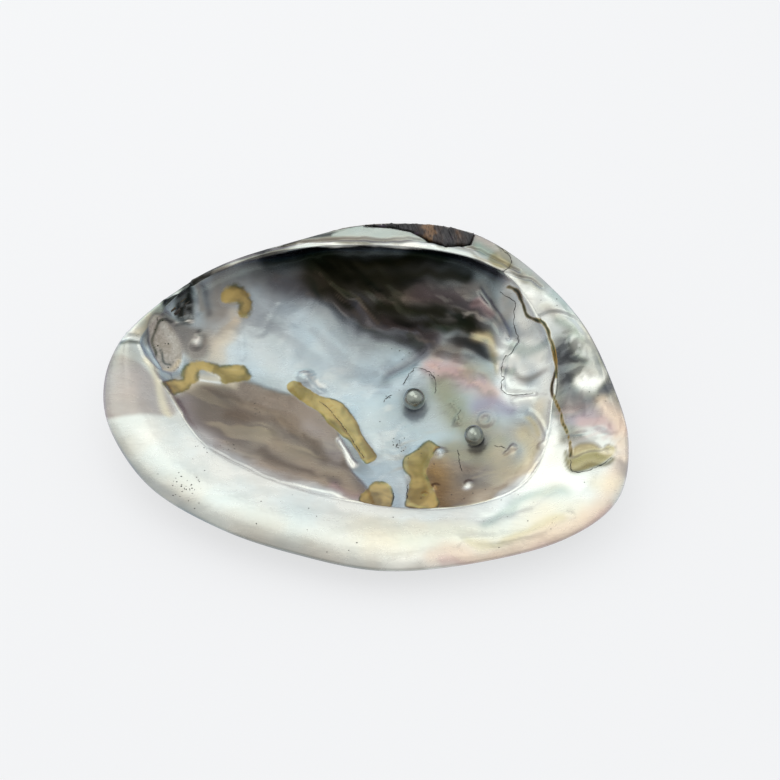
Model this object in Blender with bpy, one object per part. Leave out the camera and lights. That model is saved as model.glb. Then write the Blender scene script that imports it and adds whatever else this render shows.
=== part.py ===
"""Mother of pearl shell: one valve of a large pearl mussel, open side up, with two loose pearls in its bowl.

The valve frame has its origin on the rim plane, +X towards the broad rear end, +Y towards the hinge
and +Z out of the open side. The frame is tilted about X, as the valve lies when it rests on its
outside, and the whole is then stood on the floor plane with its box centred on the origin.
"""
import math

import bmesh
import bpy
import numpy as np

MM = 0.001

# Driving dimensions, in millimetres, in the valve frame.
REST_TILT = math.radians(12.0)      # how far the hinge side is lifted when the valve lies free
CENTRE = (0.0, 12.0)                # the bowl's deepest point, where every section starts
BOWL_DEPTH = 22.0                   # rim plane to the bowl's floor
OUTER_DEPTH = 25.2                  # rim plane to the outside under that floor
EDGE_THICKNESS = 1.5                # of the valve's sharp rim
WORN_FOOT = 0.5                     # depth of the flat rubbed on the outside where it rests
GAP = 0.3                           # clearance between pieces that touch
FACET_SAG = 0.2                     # how far the bowl's flat facets stand above its true curve

CREST_RISE = 0.6                    # height of the crest's face away from the hinge
HINGE_RISE = 2.0                    # and at the hinge
CREST_LEAN = 0.5                    # how far its foot lies inside its top, away from the hinge
ROLL_HEIGHT = 0.5                   # how high the band swells between the crest and the rim
ROLL_START = 0.42                   # share of the crest's drop left where the band starts to swell
HINGE_DIP = -0.2                    # the same at the hinge, as a height: the shelf there dips at once
HINGE_FALL = 0.8                    # share of its drop that the hinge shelf makes before the rim

# Sections run out from the bowl's centre. These hold their sizes at the rear, hinge, front and belly,
# as shares of the way out, of the depth, or as heights, and the sizes pass smoothly from one to the next.
RIM_LEVEL = (-1.4, -1.0, -1.6, -1.6)            # height of the rim's inner edge
BOWL_FLAT = (0.62, 0.80, 0.62, 0.55)            # how far the bowl's floor pulls its section out flat
BOWL_SHOULDER = (0.95, 0.95, 0.95, 0.85)        # how far out its wall stands
BOWL_WALL = (0.32, 0.34, 0.34, 0.28)            # how far down that wall reaches
OUTER_FLAT = (0.49, 0.77, 0.56, 0.365)          # the same for the outside
OUTER_SHOULDER = (0.79, 0.98, 0.92, 0.74)
OUTER_SHOULDER_LEVEL = (-9.8, -11.5, -10.8, -9.2)

# Spans round the valve, in degrees from the rear: where a feature starts, is full, starts to fade, and ends.
HINGE_SPAN = (22.0, 44.0, 134.0, 156.0)         # the hinge crest
HOLLOW_SPAN = (26.0, 62.0, 104.0, 142.0)        # the hollow that runs back beneath it
BULGE_SPAN = (16.0, 66.0, 100.0, 168.0)         # the outside's bulge behind that hollow
HOLLOW_REACH = 0.32                             # how much further out the hollow's shoulder stands
HOLLOW_DROP = 0.12                              # how much further down it reaches
BULGE_REACH = 0.24                              # how much further out the outside's shoulder stands

GRID_CELLS = 40                     # cells across each skin's square grid
CURVE_STEPS = 24                    # straight steps between two points of a drawn curve
CREST_FOOT_RING = 0.70              # share of the way out where a section meets the crest's foot
CREST_RING = 0.75                   # share of the way out where it reaches the crest's top
SHARP_ANGLE = math.radians(40.0)    # edges that turn more than this stay crisp
PEARL_SUBDIVISIONS = 4
CUTTER_SIZE = 0.4                   # metres, larger than the valve
SLOPE_STEP = 0.5                    # how far apart heights are compared to find a slope
SECTION_STEPS = 400                 # steps in which a section is read
MERGE_DISTANCE = 1e-6               # metres

PEARLS = {
    # name: (x, y) where it touches the bowl, radius, height over width
    "pearl_large": ((16.1, 5.0), 3.8, 1.0),
    "pearl_small": ((36.0, -9.3), 3.3, 1.08),
}

LIGAMENT_BOTTOM = -1.8
LIGAMENT_THICKNESS = 2.2

# The rim, anticlockwise from the front end, x and y.
RIM = [
    (-84.5, 4.0), (-80.5, 19.5), (-68.0, 33.5), (-49.0, 47.0), (-22.5, 56.5), (-1.0, 62.0), (24.0, 62.0),
    (40.0, 57.0), (56.0, 44.5), (71.0, 26.0), (79.5, 4.0), (83.0, -15.0), (78.0, -34.0), (60.0, -46.5),
    (32.0, -53.5), (5.0, -55.7), (-20.0, -51.0), (-44.0, -43.0), (-66.5, -30.0), (-80.5, -12.0),
]

# The line where the bowl ends: the hinge crest along the top, the muscle line round the rest. x, y and z.
CREST = [
    (-74.5, 20.5, -3.0), (-69.0, 29.0, -2.4), (-60.5, 37.5, -1.6), (-50.5, 44.0, -0.8), (-36.0, 50.0, -0.2),
    (-22.5, 52.7, 0.0), (-9.0, 53.8, 0.0), (11.0, 53.4, 0.0), (28.0, 51.0, 0.0), (40.0, 47.0, -0.3),
    (50.0, 39.5, -1.0), (58.3, 25.0, -2.8), (61.7, 11.0, -4.4), (60.2, -2.0, -5.2), (57.5, -14.5, -6.0),
    (52.5, -24.5, -6.6), (42.0, -31.5, -7.0), (23.5, -35.0, -7.5), (1.5, -33.5, -8.0), (-20.5, -28.8, -8.0),
    (-40.0, -21.0, -8.0), (-53.5, -12.5, -7.5), (-64.0, 2.0, -6.5), (-71.5, 14.0, -4.6),
]

# Outline of the dried ligament, a thin tail along the rim that widens into a pad. x and y.
LIGAMENT = [
    (-1.0, 61.6), (10.0, 62.6), (21.0, 62.6), (30.0, 61.0), (36.0, 58.6), (34.6, 54.4),
    (26.5, 53.4), (20.5, 55.9), (14.8, 59.4), (8.0, 61.0),
]


def smooth_step(low, high, value):
    """0 below low, 1 above high, and a smooth rise between."""
    t = np.clip((value - low) / (high - low), 0.0, 1.0)
    return t * t * (3.0 - 2.0 * t)


def closed_curve(points, steps=CURVE_STEPS):
    """A smooth closed curve through the points (uniform Catmull-Rom)."""
    here = np.array(points, float)
    before, after, beyond = np.roll(here, 1, 0), np.roll(here, -1, 0), np.roll(here, -2, 0)
    curve = []
    for t in np.arange(steps) / steps:
        curve.append(0.5 * (
            2.0 * here
            + (after - before) * t
            + (2.0 * before - 5.0 * here + 4.0 * after - beyond) * t ** 2
            + (3.0 * here - before - 3.0 * after + beyond) * t ** 3
        ))
    return np.stack(curve, axis=1).reshape(-1, here.shape[1])


class AngleCurve:
    """A closed curve read by its angle about the bowl's centre: the reach at that angle, and the height."""

    def __init__(self, points):
        curve = closed_curve(points)
        offset = curve[:, :2] - np.array(CENTRE)
        angle = np.arctan2(offset[:, 1], offset[:, 0])
        order = np.argsort(angle)
        self.angle = angle[order]
        self.radius = np.hypot(offset[:, 0], offset[:, 1])[order]
        self.height = curve[order, 2] if curve.shape[1] == 3 else None

    def reach(self, angle):
        """Distance from the centre to the curve."""
        return np.interp(angle, self.angle, self.radius, period=2.0 * math.pi)

    def level(self, angle):
        """Height of the curve."""
        return np.interp(angle, self.angle, self.height, period=2.0 * math.pi)


def round_the_valve(angle, sizes):
    """A size that passes smoothly through its rear, hinge, front and belly values as the angle goes round."""
    turn = np.mod(angle, 2.0 * math.pi) / (0.5 * math.pi)
    quarter = np.floor(turn).astype(int) % 4
    share = smooth_step(0.0, 1.0, turn - np.floor(turn))
    stops = np.array([*sizes, sizes[0]], float)
    return stops[quarter] * (1.0 - share) + stops[quarter + 1] * share


def share_along(angle, span):
    """A share that rises from 0 to 1 between the span's first two angles, and falls between its last two."""
    rise_from, rise_to, fall_from, fall_to = span
    degrees = np.degrees(np.mod(angle, 2.0 * math.pi))
    return smooth_step(rise_from, rise_to, degrees) * (1.0 - smooth_step(fall_from, fall_to, degrees))


def bezier(t, start, first, second, end):
    """A cubic Bezier curve's value at t."""
    s = 1.0 - t
    return s ** 3 * start + 3.0 * s * s * t * first + 3.0 * s * t * t * second + t ** 3 * end


RIM_CURVE = AngleCurve(RIM)
CREST_CURVE = AngleCurve(CREST)


def at(reach, angle, level):
    """The point at that distance and angle from the bowl's centre, and at that height."""
    return np.stack([CENTRE[0] + reach * np.cos(angle), CENTRE[1] + reach * np.sin(angle), level], axis=-1)


def inside(ring, angle):
    """x, y and z on the nacre side, with ring running from 0 at the bowl's floor to 1 at the rim."""
    hinge = share_along(angle, HINGE_SPAN)
    hollow = share_along(angle, HOLLOW_SPAN)
    crest_reach = CREST_CURVE.reach(angle)
    crest_level = CREST_CURVE.level(angle)
    crest_rise = CREST_RISE + (HINGE_RISE - CREST_RISE) * hinge
    foot_reach = crest_reach - CREST_LEAN * (1.0 - hinge)
    foot_level = crest_level - crest_rise

    # The bowl: flat across its floor, and under the hinge it runs back beneath the crest.
    t = np.clip(ring / CREST_FOOT_RING, 0.0, 1.0)
    near = round_the_valve(angle, BOWL_FLAT) * crest_reach
    far = (round_the_valve(angle, BOWL_SHOULDER) + HOLLOW_REACH * hollow) * crest_reach
    wall = round_the_valve(angle, BOWL_WALL) + HOLLOW_DROP * hollow
    far_level = foot_level - wall * (BOWL_DEPTH + foot_level)
    bowl_reach = bezier(t, 0.0, near, far, foot_reach)
    bowl_level = bezier(t, -BOWL_DEPTH, -BOWL_DEPTH, far_level, foot_level)

    # The crest's short face.
    climb = np.clip((ring - CREST_FOOT_RING) / (CREST_RING - CREST_FOOT_RING), 0.0, 1.0)
    face_reach = foot_reach + (crest_reach - foot_reach) * climb
    face_level = foot_level + crest_rise * climb

    # The band between the crest and the rim: it rises in a soft roll and turns down at the rim.
    out = np.clip((ring - CREST_RING) / (1.0 - CREST_RING), 0.0, 1.0)
    rim_level = round_the_valve(angle, RIM_LEVEL)
    roll_near = crest_level * ROLL_START * (1.0 - hinge) + HINGE_DIP * hinge
    roll_far = ROLL_HEIGHT + (rim_level * HINGE_FALL - ROLL_HEIGHT) * hinge
    band_reach = crest_reach + (RIM_CURVE.reach(angle) - crest_reach) * out
    band_level = bezier(out, crest_level, roll_near, roll_far, rim_level)

    places = [ring >= CREST_RING, ring > CREST_FOOT_RING]
    reach = np.select(places, [band_reach, face_reach], bowl_reach)
    level = np.select(places, [band_level, face_level], bowl_level)
    return at(reach, angle, level)


def outside(ring, angle):
    """x, y and z on the outer skin, with ring running from 0 under the bowl's floor to 1 at the rim."""
    bulge = share_along(angle, BULGE_SPAN)
    rim_reach = RIM_CURVE.reach(angle)
    rim_level = round_the_valve(angle, RIM_LEVEL) - EDGE_THICKNESS
    near = round_the_valve(angle, OUTER_FLAT) * rim_reach
    far = (round_the_valve(angle, OUTER_SHOULDER) + BULGE_REACH * bulge) * rim_reach
    far_level = round_the_valve(angle, OUTER_SHOULDER_LEVEL)
    reach = bezier(ring, 0.0, near, far, rim_reach)
    level = bezier(ring, -OUTER_DEPTH, -OUTER_DEPTH, far_level, rim_level)
    return at(reach, angle, level)


def ring_and_angle(a, b):
    """Turns a point of the square from -1 to 1 into a ring and an angle, so the rings have no pole."""
    ring = np.maximum(np.abs(a), np.abs(b))
    wide = np.abs(a) >= np.abs(b)
    safe_a = np.where(a == 0.0, 1.0, a)
    safe_b = np.where(b == 0.0, 1.0, b)
    angle = np.where(wide, 0.25 * math.pi * b / safe_a, 0.5 * math.pi - 0.25 * math.pi * a / safe_b)
    angle = np.where(np.where(wide, a, b) < 0.0, angle + math.pi, angle)
    return ring, angle


def add_skin(mesh, surface):
    """Adds a square grid to the mesh, lays it on the surface, and returns its border edges."""
    made = bmesh.ops.create_grid(mesh, x_segments=GRID_CELLS, y_segments=GRID_CELLS, size=1.0)["verts"]
    flat = np.array([vertex.co[:2] for vertex in made])
    for vertex, place in zip(made, surface(*ring_and_angle(flat[:, 0], flat[:, 1]))):
        vertex.co = place * MM
    edges = {edge for vertex in made for edge in vertex.link_edges}
    return [edge for edge in edges if edge.is_boundary]


def material(name, colour, roughness, metallic=0.0):
    """A plain Principled material."""
    made = bpy.data.materials.new(name)
    made.use_nodes = True
    shader = made.node_tree.nodes["Principled BSDF"]
    shader.inputs["Base Color"].default_value = (*colour, 1.0)
    shader.inputs["Roughness"].default_value = roughness
    shader.inputs["Metallic"].default_value = metallic
    return made


def place(obj, collection, frame, finish):
    """Puts a piece in its collection and in the valve frame, with its material."""
    collection.objects.link(obj)
    obj.parent = frame
    obj.data.materials.append(finish)
    return obj


def make_valve(collection, frame):
    """The valve: a nacre skin and an outer skin, joined round the rim."""
    mesh = bmesh.new()
    borders = add_skin(mesh, inside) + add_skin(mesh, outside)
    bmesh.ops.bridge_loops(mesh, edges=borders)
    bmesh.ops.recalc_face_normals(mesh, faces=mesh.faces)
    data = bpy.data.meshes.new("shell")
    mesh.to_mesh(data)
    mesh.free()
    data.shade_smooth()
    data.set_sharp_from_angle(angle=SHARP_ANGLE)
    nacre = material("nacre", (0.74, 0.75, 0.74), 0.22, 0.15)
    return place(bpy.data.objects.new("shell", data), collection, frame, nacre)


def outline_curve(name, points, low, high):
    """A flat outline between two heights, as a filled and extruded curve."""
    data = bpy.data.curves.new(name, "CURVE")
    data.dimensions = "2D"
    data.fill_mode = "BOTH"
    data.extrude = 0.5 * (high - low) * MM
    line = data.splines.new("POLY")
    line.points.add(len(points) - 1)
    for point, (x, y) in zip(line.points, points):
        point.co = (x * MM, y * MM, 0.0, 1.0)
    line.use_cyclic_u = True
    obj = bpy.data.objects.new(name, data)
    obj.location.z = 0.5 * (low + high) * MM
    return obj


def grown(points, by):
    """The outline with each corner pushed out by the same distance from its two sides."""
    here = np.array(points, float)
    sides = np.roll(here, -1, 0) - here
    normals = np.stack([sides[:, 1], -sides[:, 0]], axis=1)
    normals /= np.linalg.norm(normals, axis=1, keepdims=True)
    x, y = here.T
    if np.sum(x * np.roll(y, -1) - np.roll(x, -1) * y) < 0.0:
        normals = -normals
    pair = normals + np.roll(normals, 1, 0)
    return here + by * pair * (2.0 / np.sum(pair * pair, axis=1, keepdims=True))


def make_ligament(collection, frame):
    """The dried ligament, a pad on the hinge shelf."""
    pad = outline_curve("hinge_ligament", LIGAMENT, LIGAMENT_BOTTOM, LIGAMENT_BOTTOM + LIGAMENT_THICKNESS)
    return place(pad, collection, frame, material("ligament", (0.07, 0.04, 0.02), 0.6))


def make_ligament_seat(collection, frame):
    """The cutter for the ligament's seat in the shelf: its outline and a gap all round and below."""
    high = LIGAMENT_BOTTOM + 2.0 * LIGAMENT_THICKNESS
    guide = outline_curve("seat_outline", grown(LIGAMENT, GAP), LIGAMENT_BOTTOM - GAP, high)
    collection.objects.link(guide)
    bpy.context.view_layer.update()
    data = bpy.data.meshes.new_from_object(guide.evaluated_get(bpy.context.evaluated_depsgraph_get()))
    mesh = bmesh.new()
    mesh.from_mesh(data)
    bmesh.ops.remove_doubles(mesh, verts=mesh.verts, dist=MERGE_DISTANCE)
    bmesh.ops.recalc_face_normals(mesh, faces=mesh.faces)
    mesh.to_mesh(data)
    mesh.free()
    seat = bpy.data.objects.new("ligament_seat", data)
    seat.matrix_world = guide.matrix_world
    bpy.data.objects.remove(guide)
    collection.objects.link(seat)
    seat.parent = frame
    return seat


def make_floor_cutter(collection):
    """The cutter for the worn foot: everything below the floor plane."""
    bpy.ops.mesh.primitive_cube_add(size=CUTTER_SIZE, location=(0.0, 0.0, -0.5 * CUTTER_SIZE))
    cutter = bpy.context.object
    cutter.name = "floor_cutter"
    for owner in cutter.users_collection:
        owner.objects.unlink(cutter)
    collection.objects.link(cutter)
    return cutter


def cut(obj, cutter):
    """Takes the cutter's space out of the piece."""
    cutter.hide_render = True
    cutter.display_type = "WIRE"
    step = obj.modifiers.new("cut_" + cutter.name, "BOOLEAN")
    step.operation = "DIFFERENCE"
    step.object = cutter


def bowl_at(x, y):
    """The bowl's surface point under x and y, and its upward normal."""
    step = SLOPE_STEP
    rings = np.linspace(0.0, CREST_FOOT_RING, SECTION_STEPS)

    def height(px, py):
        angle = math.atan2(py - CENTRE[1], px - CENTRE[0])
        section = inside(rings, np.full_like(rings, angle))
        reach = np.hypot(section[:, 0] - CENTRE[0], section[:, 1] - CENTRE[1])
        return float(np.interp(math.hypot(px - CENTRE[0], py - CENTRE[1]), reach, section[:, 2]))

    slope_x = (height(x + step, y) - height(x - step, y)) / (2.0 * step)
    slope_y = (height(x, y + step) - height(x, y - step)) / (2.0 * step)
    normal = np.array([-slope_x, -slope_y, 1.0])
    return np.array([x, y, height(x, y)]), normal / np.linalg.norm(normal)


def make_pearls(collection, frame):
    """The pearls, each a hair clear of the nacre it rests on."""
    finish = material("pearl", (0.56, 0.57, 0.55), 0.18, 0.3)
    for name, ((x, y), radius, tall) in PEARLS.items():
        floor, normal = bowl_at(x, y)
        bpy.ops.mesh.primitive_ico_sphere_add(subdivisions=PEARL_SUBDIVISIONS, radius=radius * MM)
        pearl = bpy.context.object
        pearl.name = name
        pearl.data.name = name
        pearl.data.transform([[1, 0, 0, 0], [0, tall, 0, 0], [0, 0, 1, 0], [0, 0, 0, 1]])
        pearl.data.shade_smooth()
        for owner in pearl.users_collection:
            owner.objects.unlink(pearl)
        pearl.location = (floor + normal * (radius + GAP + FACET_SAG)) * MM
        place(pearl, collection, frame, finish)


def world_points(obj):
    """The corners of the piece's evaluated mesh, in the world."""
    evaluated = obj.evaluated_get(bpy.context.evaluated_depsgraph_get())
    mesh = evaluated.to_mesh()
    points = [evaluated.matrix_world @ vertex.co for vertex in mesh.vertices]
    evaluated.to_mesh_clear()
    return np.array(points)


def main():
    """Builds the valve, its ligament and the pearls, and stands them on the floor."""
    for obj in list(bpy.data.objects):
        bpy.data.objects.remove(obj)
    parts = bpy.data.collections.new("mother_of_pearl_shell")
    cutters = bpy.data.collections.new("cutters")
    bpy.context.scene.collection.children.link(parts)
    bpy.context.scene.collection.children.link(cutters)

    frame = bpy.data.objects.new("valve_frame", None)
    frame.rotation_euler = (REST_TILT, 0.0, 0.0)
    parts.objects.link(frame)

    valve = make_valve(parts, frame)
    make_ligament(parts, frame)
    make_pearls(parts, frame)
    seat = make_ligament_seat(cutters, frame)

    bpy.context.view_layer.update()
    spread = np.concatenate([world_points(obj) for obj in parts.objects if obj.type != "EMPTY"])
    low, high = spread.min(axis=0), spread.max(axis=0)
    frame.location = (-0.5 * (low[0] + high[0]), -0.5 * (low[1] + high[1]), -low[2] - WORN_FOOT * MM)

    cut(valve, seat)
    cut(valve, make_floor_cutter(cutters))


main()
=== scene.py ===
"""Mother of pearl shell: one valve of a large pearl mussel, with its ligament and two pearls.

Lengths in the classes are millimetres in the valve frame: the origin on the rim plane, +X towards the broad
rear end, +Y towards the hinge and +Z out of the open side. ValveFrame turns them into the model's metres.
"""

import logging
import math
from collections.abc import Sequence
from dataclasses import dataclass, field
from enum import Enum

import bmesh
import bpy
import numpy as np
from mathutils import Matrix, Vector


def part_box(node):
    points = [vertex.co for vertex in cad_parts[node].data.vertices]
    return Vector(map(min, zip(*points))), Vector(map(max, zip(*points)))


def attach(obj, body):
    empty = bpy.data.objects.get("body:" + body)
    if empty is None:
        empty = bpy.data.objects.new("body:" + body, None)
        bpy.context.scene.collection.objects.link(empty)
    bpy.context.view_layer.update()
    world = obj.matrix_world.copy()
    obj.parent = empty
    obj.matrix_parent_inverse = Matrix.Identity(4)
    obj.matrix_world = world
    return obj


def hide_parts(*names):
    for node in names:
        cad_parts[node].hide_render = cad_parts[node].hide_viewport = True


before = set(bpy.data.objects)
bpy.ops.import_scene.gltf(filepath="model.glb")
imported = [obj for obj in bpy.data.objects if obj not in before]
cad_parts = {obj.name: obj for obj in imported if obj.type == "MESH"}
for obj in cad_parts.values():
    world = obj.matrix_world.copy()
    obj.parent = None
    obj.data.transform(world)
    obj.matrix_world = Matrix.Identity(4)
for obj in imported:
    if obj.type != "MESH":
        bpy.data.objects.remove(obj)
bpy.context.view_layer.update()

LOG = logging.getLogger("shell")
MM = 0.001
TAU = 2.0 * math.pi
AMBER_SPREAD = 0.55  # how far amber has crept beyond its drawn outline
FAR_AWAY = 9.0  # stands for any distance past the reach of a mask
BODY = "root"
Point = tuple[float, float]
Colour = tuple[float, float, float]
Compass = tuple[float, float, float, float]  # sizes at the rear, hinge, front and belly
Span = tuple[float, float, float, float]  # degrees where something starts, is full, starts to fade, and ends


def srgb(red: int, green: int, blue: int) -> Colour:
    """A linear colour from display values of 0 to 255."""
    return tuple(
        (v / 12.92 if v <= 0.04045 else ((v + 0.055) / 1.055) ** 2.4)
        for v in (red / 255.0, green / 255.0, blue / 255.0)
    )


def smooth_step(low: float, high: float, value: np.ndarray) -> np.ndarray:
    """0 below low, 1 above high, and a smooth rise between."""
    t = np.clip((value - low) / (high - low), 0.0, 1.0)
    return t * t * (3.0 - 2.0 * t)


def closed_curve(points: Sequence[Sequence[float]], steps: int = 24) -> np.ndarray:
    """A smooth closed curve through the points.

    Args:
        points: the points, in order round the curve.
        steps: how many points to give for each stretch between two of them.

    Returns:
        The curve's points, one a row.
    """
    here = np.array(points, float)
    before, after, beyond = np.roll(here, 1, 0), np.roll(here, -1, 0), np.roll(here, -2, 0)
    curve = []
    for t in np.arange(steps) / steps:
        curve.append(0.5 * (
            2.0 * here
            + (after - before) * t
            + (2.0 * before - 5.0 * here + 4.0 * after - beyond) * t ** 2
            + (3.0 * here - before - 3.0 * after + beyond) * t ** 3
        ))
    return np.stack(curve, axis=1).reshape(-1, here.shape[1])


def open_curve(points: Sequence[Sequence[float]], steps: int = 8) -> np.ndarray:
    """A smooth open curve through the points, ends included.

    Args:
        points: the points, in order along the curve.
        steps: how many points to give for each stretch between two of them.

    Returns:
        The curve's points, one a row.
    """
    here = np.array(points, float)
    if len(here) < 3:
        share = np.linspace(0.0, 1.0, steps + 1)[:, None]
        return here[0] * (1.0 - share) + here[-1] * share
    padded = np.concatenate([2.0 * here[:1] - here[1:2], here, 2.0 * here[-1:] - here[-2:-1]])
    curve = []
    for k in range(len(here) - 1):
        a, b, c, d = padded[k:k + 4]
        for t in np.arange(steps) / steps:
            curve.append(0.5 * (
                2.0 * b + (c - a) * t + (2.0 * a - 5.0 * b + 4.0 * c - d) * t ** 2
                + (3.0 * b - a - 3.0 * c + d) * t ** 3
            ))
    curve.append(here[-1])
    return np.array(curve)


def distance_to_line(place: np.ndarray, line: np.ndarray, closed: bool = False) -> np.ndarray:
    """Distance from each place to a line of straight stretches.

    Args:
        place: points, one a row, x and y.
        line: the line's points, one a row, x and y.
        closed: whether its last point joins its first.

    Returns:
        The distances.
    """
    if len(line) == 1:
        return np.hypot(*(place - line[0]).T)
    ends = np.roll(line, -1, 0) if closed else line[1:]
    best = np.full(len(place), 1e9)
    for a, b in zip(line, ends):
        along = b - a
        t = np.clip(((place - a) @ along) / max(float(along @ along), 1e-12), 0.0, 1.0)
        best = np.minimum(best, np.hypot(*(place - a - t[:, None] * along).T))
    return best


def signed_distance(place: np.ndarray, outline: np.ndarray) -> np.ndarray:
    """Distance from each place to a closed outline, negative inside it.

    Args:
        place: points, one a row, x and y.
        outline: the outline's points, one a row, x and y.

    Returns:
        The signed distances.
    """
    x, y = place.T
    inside = np.zeros(len(place), bool)
    for (ax, ay), (bx, by) in zip(outline, np.roll(outline, -1, 0)):
        spans = (ay > y) != (by > y)
        rise = by - ay if by != ay else 1e-12
        inside ^= spans & (x < (bx - ax) * (y - ay) / rise + ax)
    return np.where(inside, -1.0, 1.0) * distance_to_line(place, outline, closed=True)


class Grain:
    """Smooth value noise in the plane, the same on every run."""

    CELLS = 128

    def __init__(self, seed: int) -> None:
        """Draws the noise's lattice of heights from the seed."""
        self.lattice = np.random.default_rng(seed).uniform(-1.0, 1.0, (self.CELLS, self.CELLS))

    def at(self, place: np.ndarray, wavelength: float) -> np.ndarray:
        """The noise, from -1 to 1.

        Args:
            place: points, one a row, x and y.
            wavelength: the size of its lumps, in the same unit.

        Returns:
            The noise at each place.
        """
        cell = place / wavelength + 0.37 * self.CELLS
        low = np.floor(cell).astype(int)
        share = cell - low
        share = share * share * (3.0 - 2.0 * share)
        x0, y0 = (low % self.CELLS).T
        x1, y1 = ((low + 1) % self.CELLS).T
        sx, sy = share.T
        rows = self.lattice
        return (
            (rows[x0, y0] * (1.0 - sx) + rows[x1, y0] * sx) * (1.0 - sy)
            + (rows[x0, y1] * (1.0 - sx) + rows[x1, y1] * sx) * sy
        )

    def warp(self, place: np.ndarray, wavelength: float, by: float) -> np.ndarray:
        """The places, each pushed up to that far by two noises of that wavelength."""
        turned = place[:, ::-1] + 17.0 * wavelength
        return place + by * np.stack([self.at(place, wavelength), self.at(turned, wavelength)], axis=1)


def link_object(name: str, data: bpy.types.ID) -> bpy.types.Object:
    """Makes an object of some data and links it to the scene.

    Args:
        name: its name.
        data: its mesh, light or camera.

    Returns:
        The object.
    """
    made = bpy.data.objects.new(name, data)
    bpy.context.scene.collection.objects.link(made)
    return made


def add_attribute(data: bpy.types.Mesh, name: str, values: np.ndarray) -> None:
    """Gives each point of a mesh a named value.

    Args:
        data: the mesh.
        name: the attribute's name.
        values: a number, a vector or a colour with its alpha for each point.
    """
    kinds = {1: ("FLOAT", "value"), 3: ("FLOAT_VECTOR", "vector"), 4: ("FLOAT_COLOR", "color")}
    kind, part = kinds[values.reshape(len(data.vertices), -1).shape[1]]
    data.attributes.new(name, kind, "POINT").data.foreach_set(part, values.ravel().astype(np.float32))


@dataclass(frozen=True)
class ValveFrame:
    """Where the valve frame lies in the model: tilted about X, then moved."""

    tilt: float
    move: tuple[float, float, float]

    @classmethod
    def from_ligament(cls, outline: Sequence[Point], bottom: float, tilt: float) -> "ValveFrame":
        """Finds the frame from the ligament's box, whose outline and underside are known in it.

        Args:
            outline: the ligament's outline, x and y.
            bottom: the height of its underside.
            tilt: the valve frame's tilt about X, in radians.

        Returns:
            The frame.
        """
        low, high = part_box("hinge_ligament")
        points = np.array(outline)
        rise, run = math.sin(tilt), math.cos(tilt)
        return cls(tilt, (
            low.x / MM - float(points[:, 0].min()),
            high.y / MM - float(points[:, 1].max()) * run + bottom * rise,
            low.z / MM - float(points[:, 1].min()) * rise - bottom * run,
        ))

    def to_model(self, place: np.ndarray) -> np.ndarray:
        """Valve millimetres to the model's metres."""
        x, y, z = np.asarray(place, float).T
        rise, run = math.sin(self.tilt), math.cos(self.tilt)
        turned = np.stack([x, y * run - z * rise, y * rise + z * run], axis=-1)
        return (turned + np.array(self.move)) * MM


class AngleCurve:
    """A closed curve read by its angle about the bowl's centre: the reach at that angle, and the height."""

    def __init__(self, points: Sequence[Sequence[float]], centre: Point) -> None:
        """Lays the curve out by angle.

        Args:
            points: x and y, and z if it has heights, in order round the curve.
            centre: where the angles are measured from.
        """
        curve = closed_curve(points)
        offset = curve[:, :2] - np.array(centre)
        angle = np.arctan2(offset[:, 1], offset[:, 0])
        order = np.argsort(angle)
        self.angle = angle[order]
        self.radius = np.hypot(offset[:, 0], offset[:, 1])[order]
        self.height = curve[order, 2] if curve.shape[1] == 3 else None

    def reach(self, angle: np.ndarray) -> np.ndarray:
        """Distance from the centre to the curve."""
        return np.interp(angle, self.angle, self.radius, period=TAU)

    def level(self, angle: np.ndarray) -> np.ndarray:
        """Height of the curve."""
        return np.interp(angle, self.angle, self.height, period=TAU)


def round_the_valve(angle: np.ndarray, sizes: Compass) -> np.ndarray:
    """A size that passes smoothly through its rear, hinge, front and belly values as the angle goes round.

    Args:
        angle: the angles, in radians from +X.
        sizes: the four values.

    Returns:
        The size at each angle.
    """
    turn = np.mod(angle, TAU) / (0.5 * math.pi)
    quarter = np.floor(turn).astype(int) % 4
    share = smooth_step(0.0, 1.0, turn - np.floor(turn))
    stops = np.array([*sizes, sizes[0]], float)
    return stops[quarter] * (1.0 - share) + stops[quarter + 1] * share


def share_along(angle: np.ndarray, span: Span) -> np.ndarray:
    """A share that rises from 0 to 1 and falls again as the angle passes through a span.

    Args:
        angle: the angles, in radians from +X.
        span: the span, in degrees.

    Returns:
        The share at each angle.
    """
    degrees = np.degrees(np.mod(angle, TAU))
    return smooth_step(*span[:2], degrees) * (1.0 - smooth_step(*span[2:], degrees))


def bezier(t: np.ndarray, start: np.ndarray, first: np.ndarray, second: np.ndarray,
           end: np.ndarray) -> np.ndarray:
    """A cubic Bezier curve's value at t."""
    s = 1.0 - t
    return s ** 3 * start + 3.0 * s * s * t * first + 3.0 * s * t * t * second + t ** 3 * end


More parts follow.
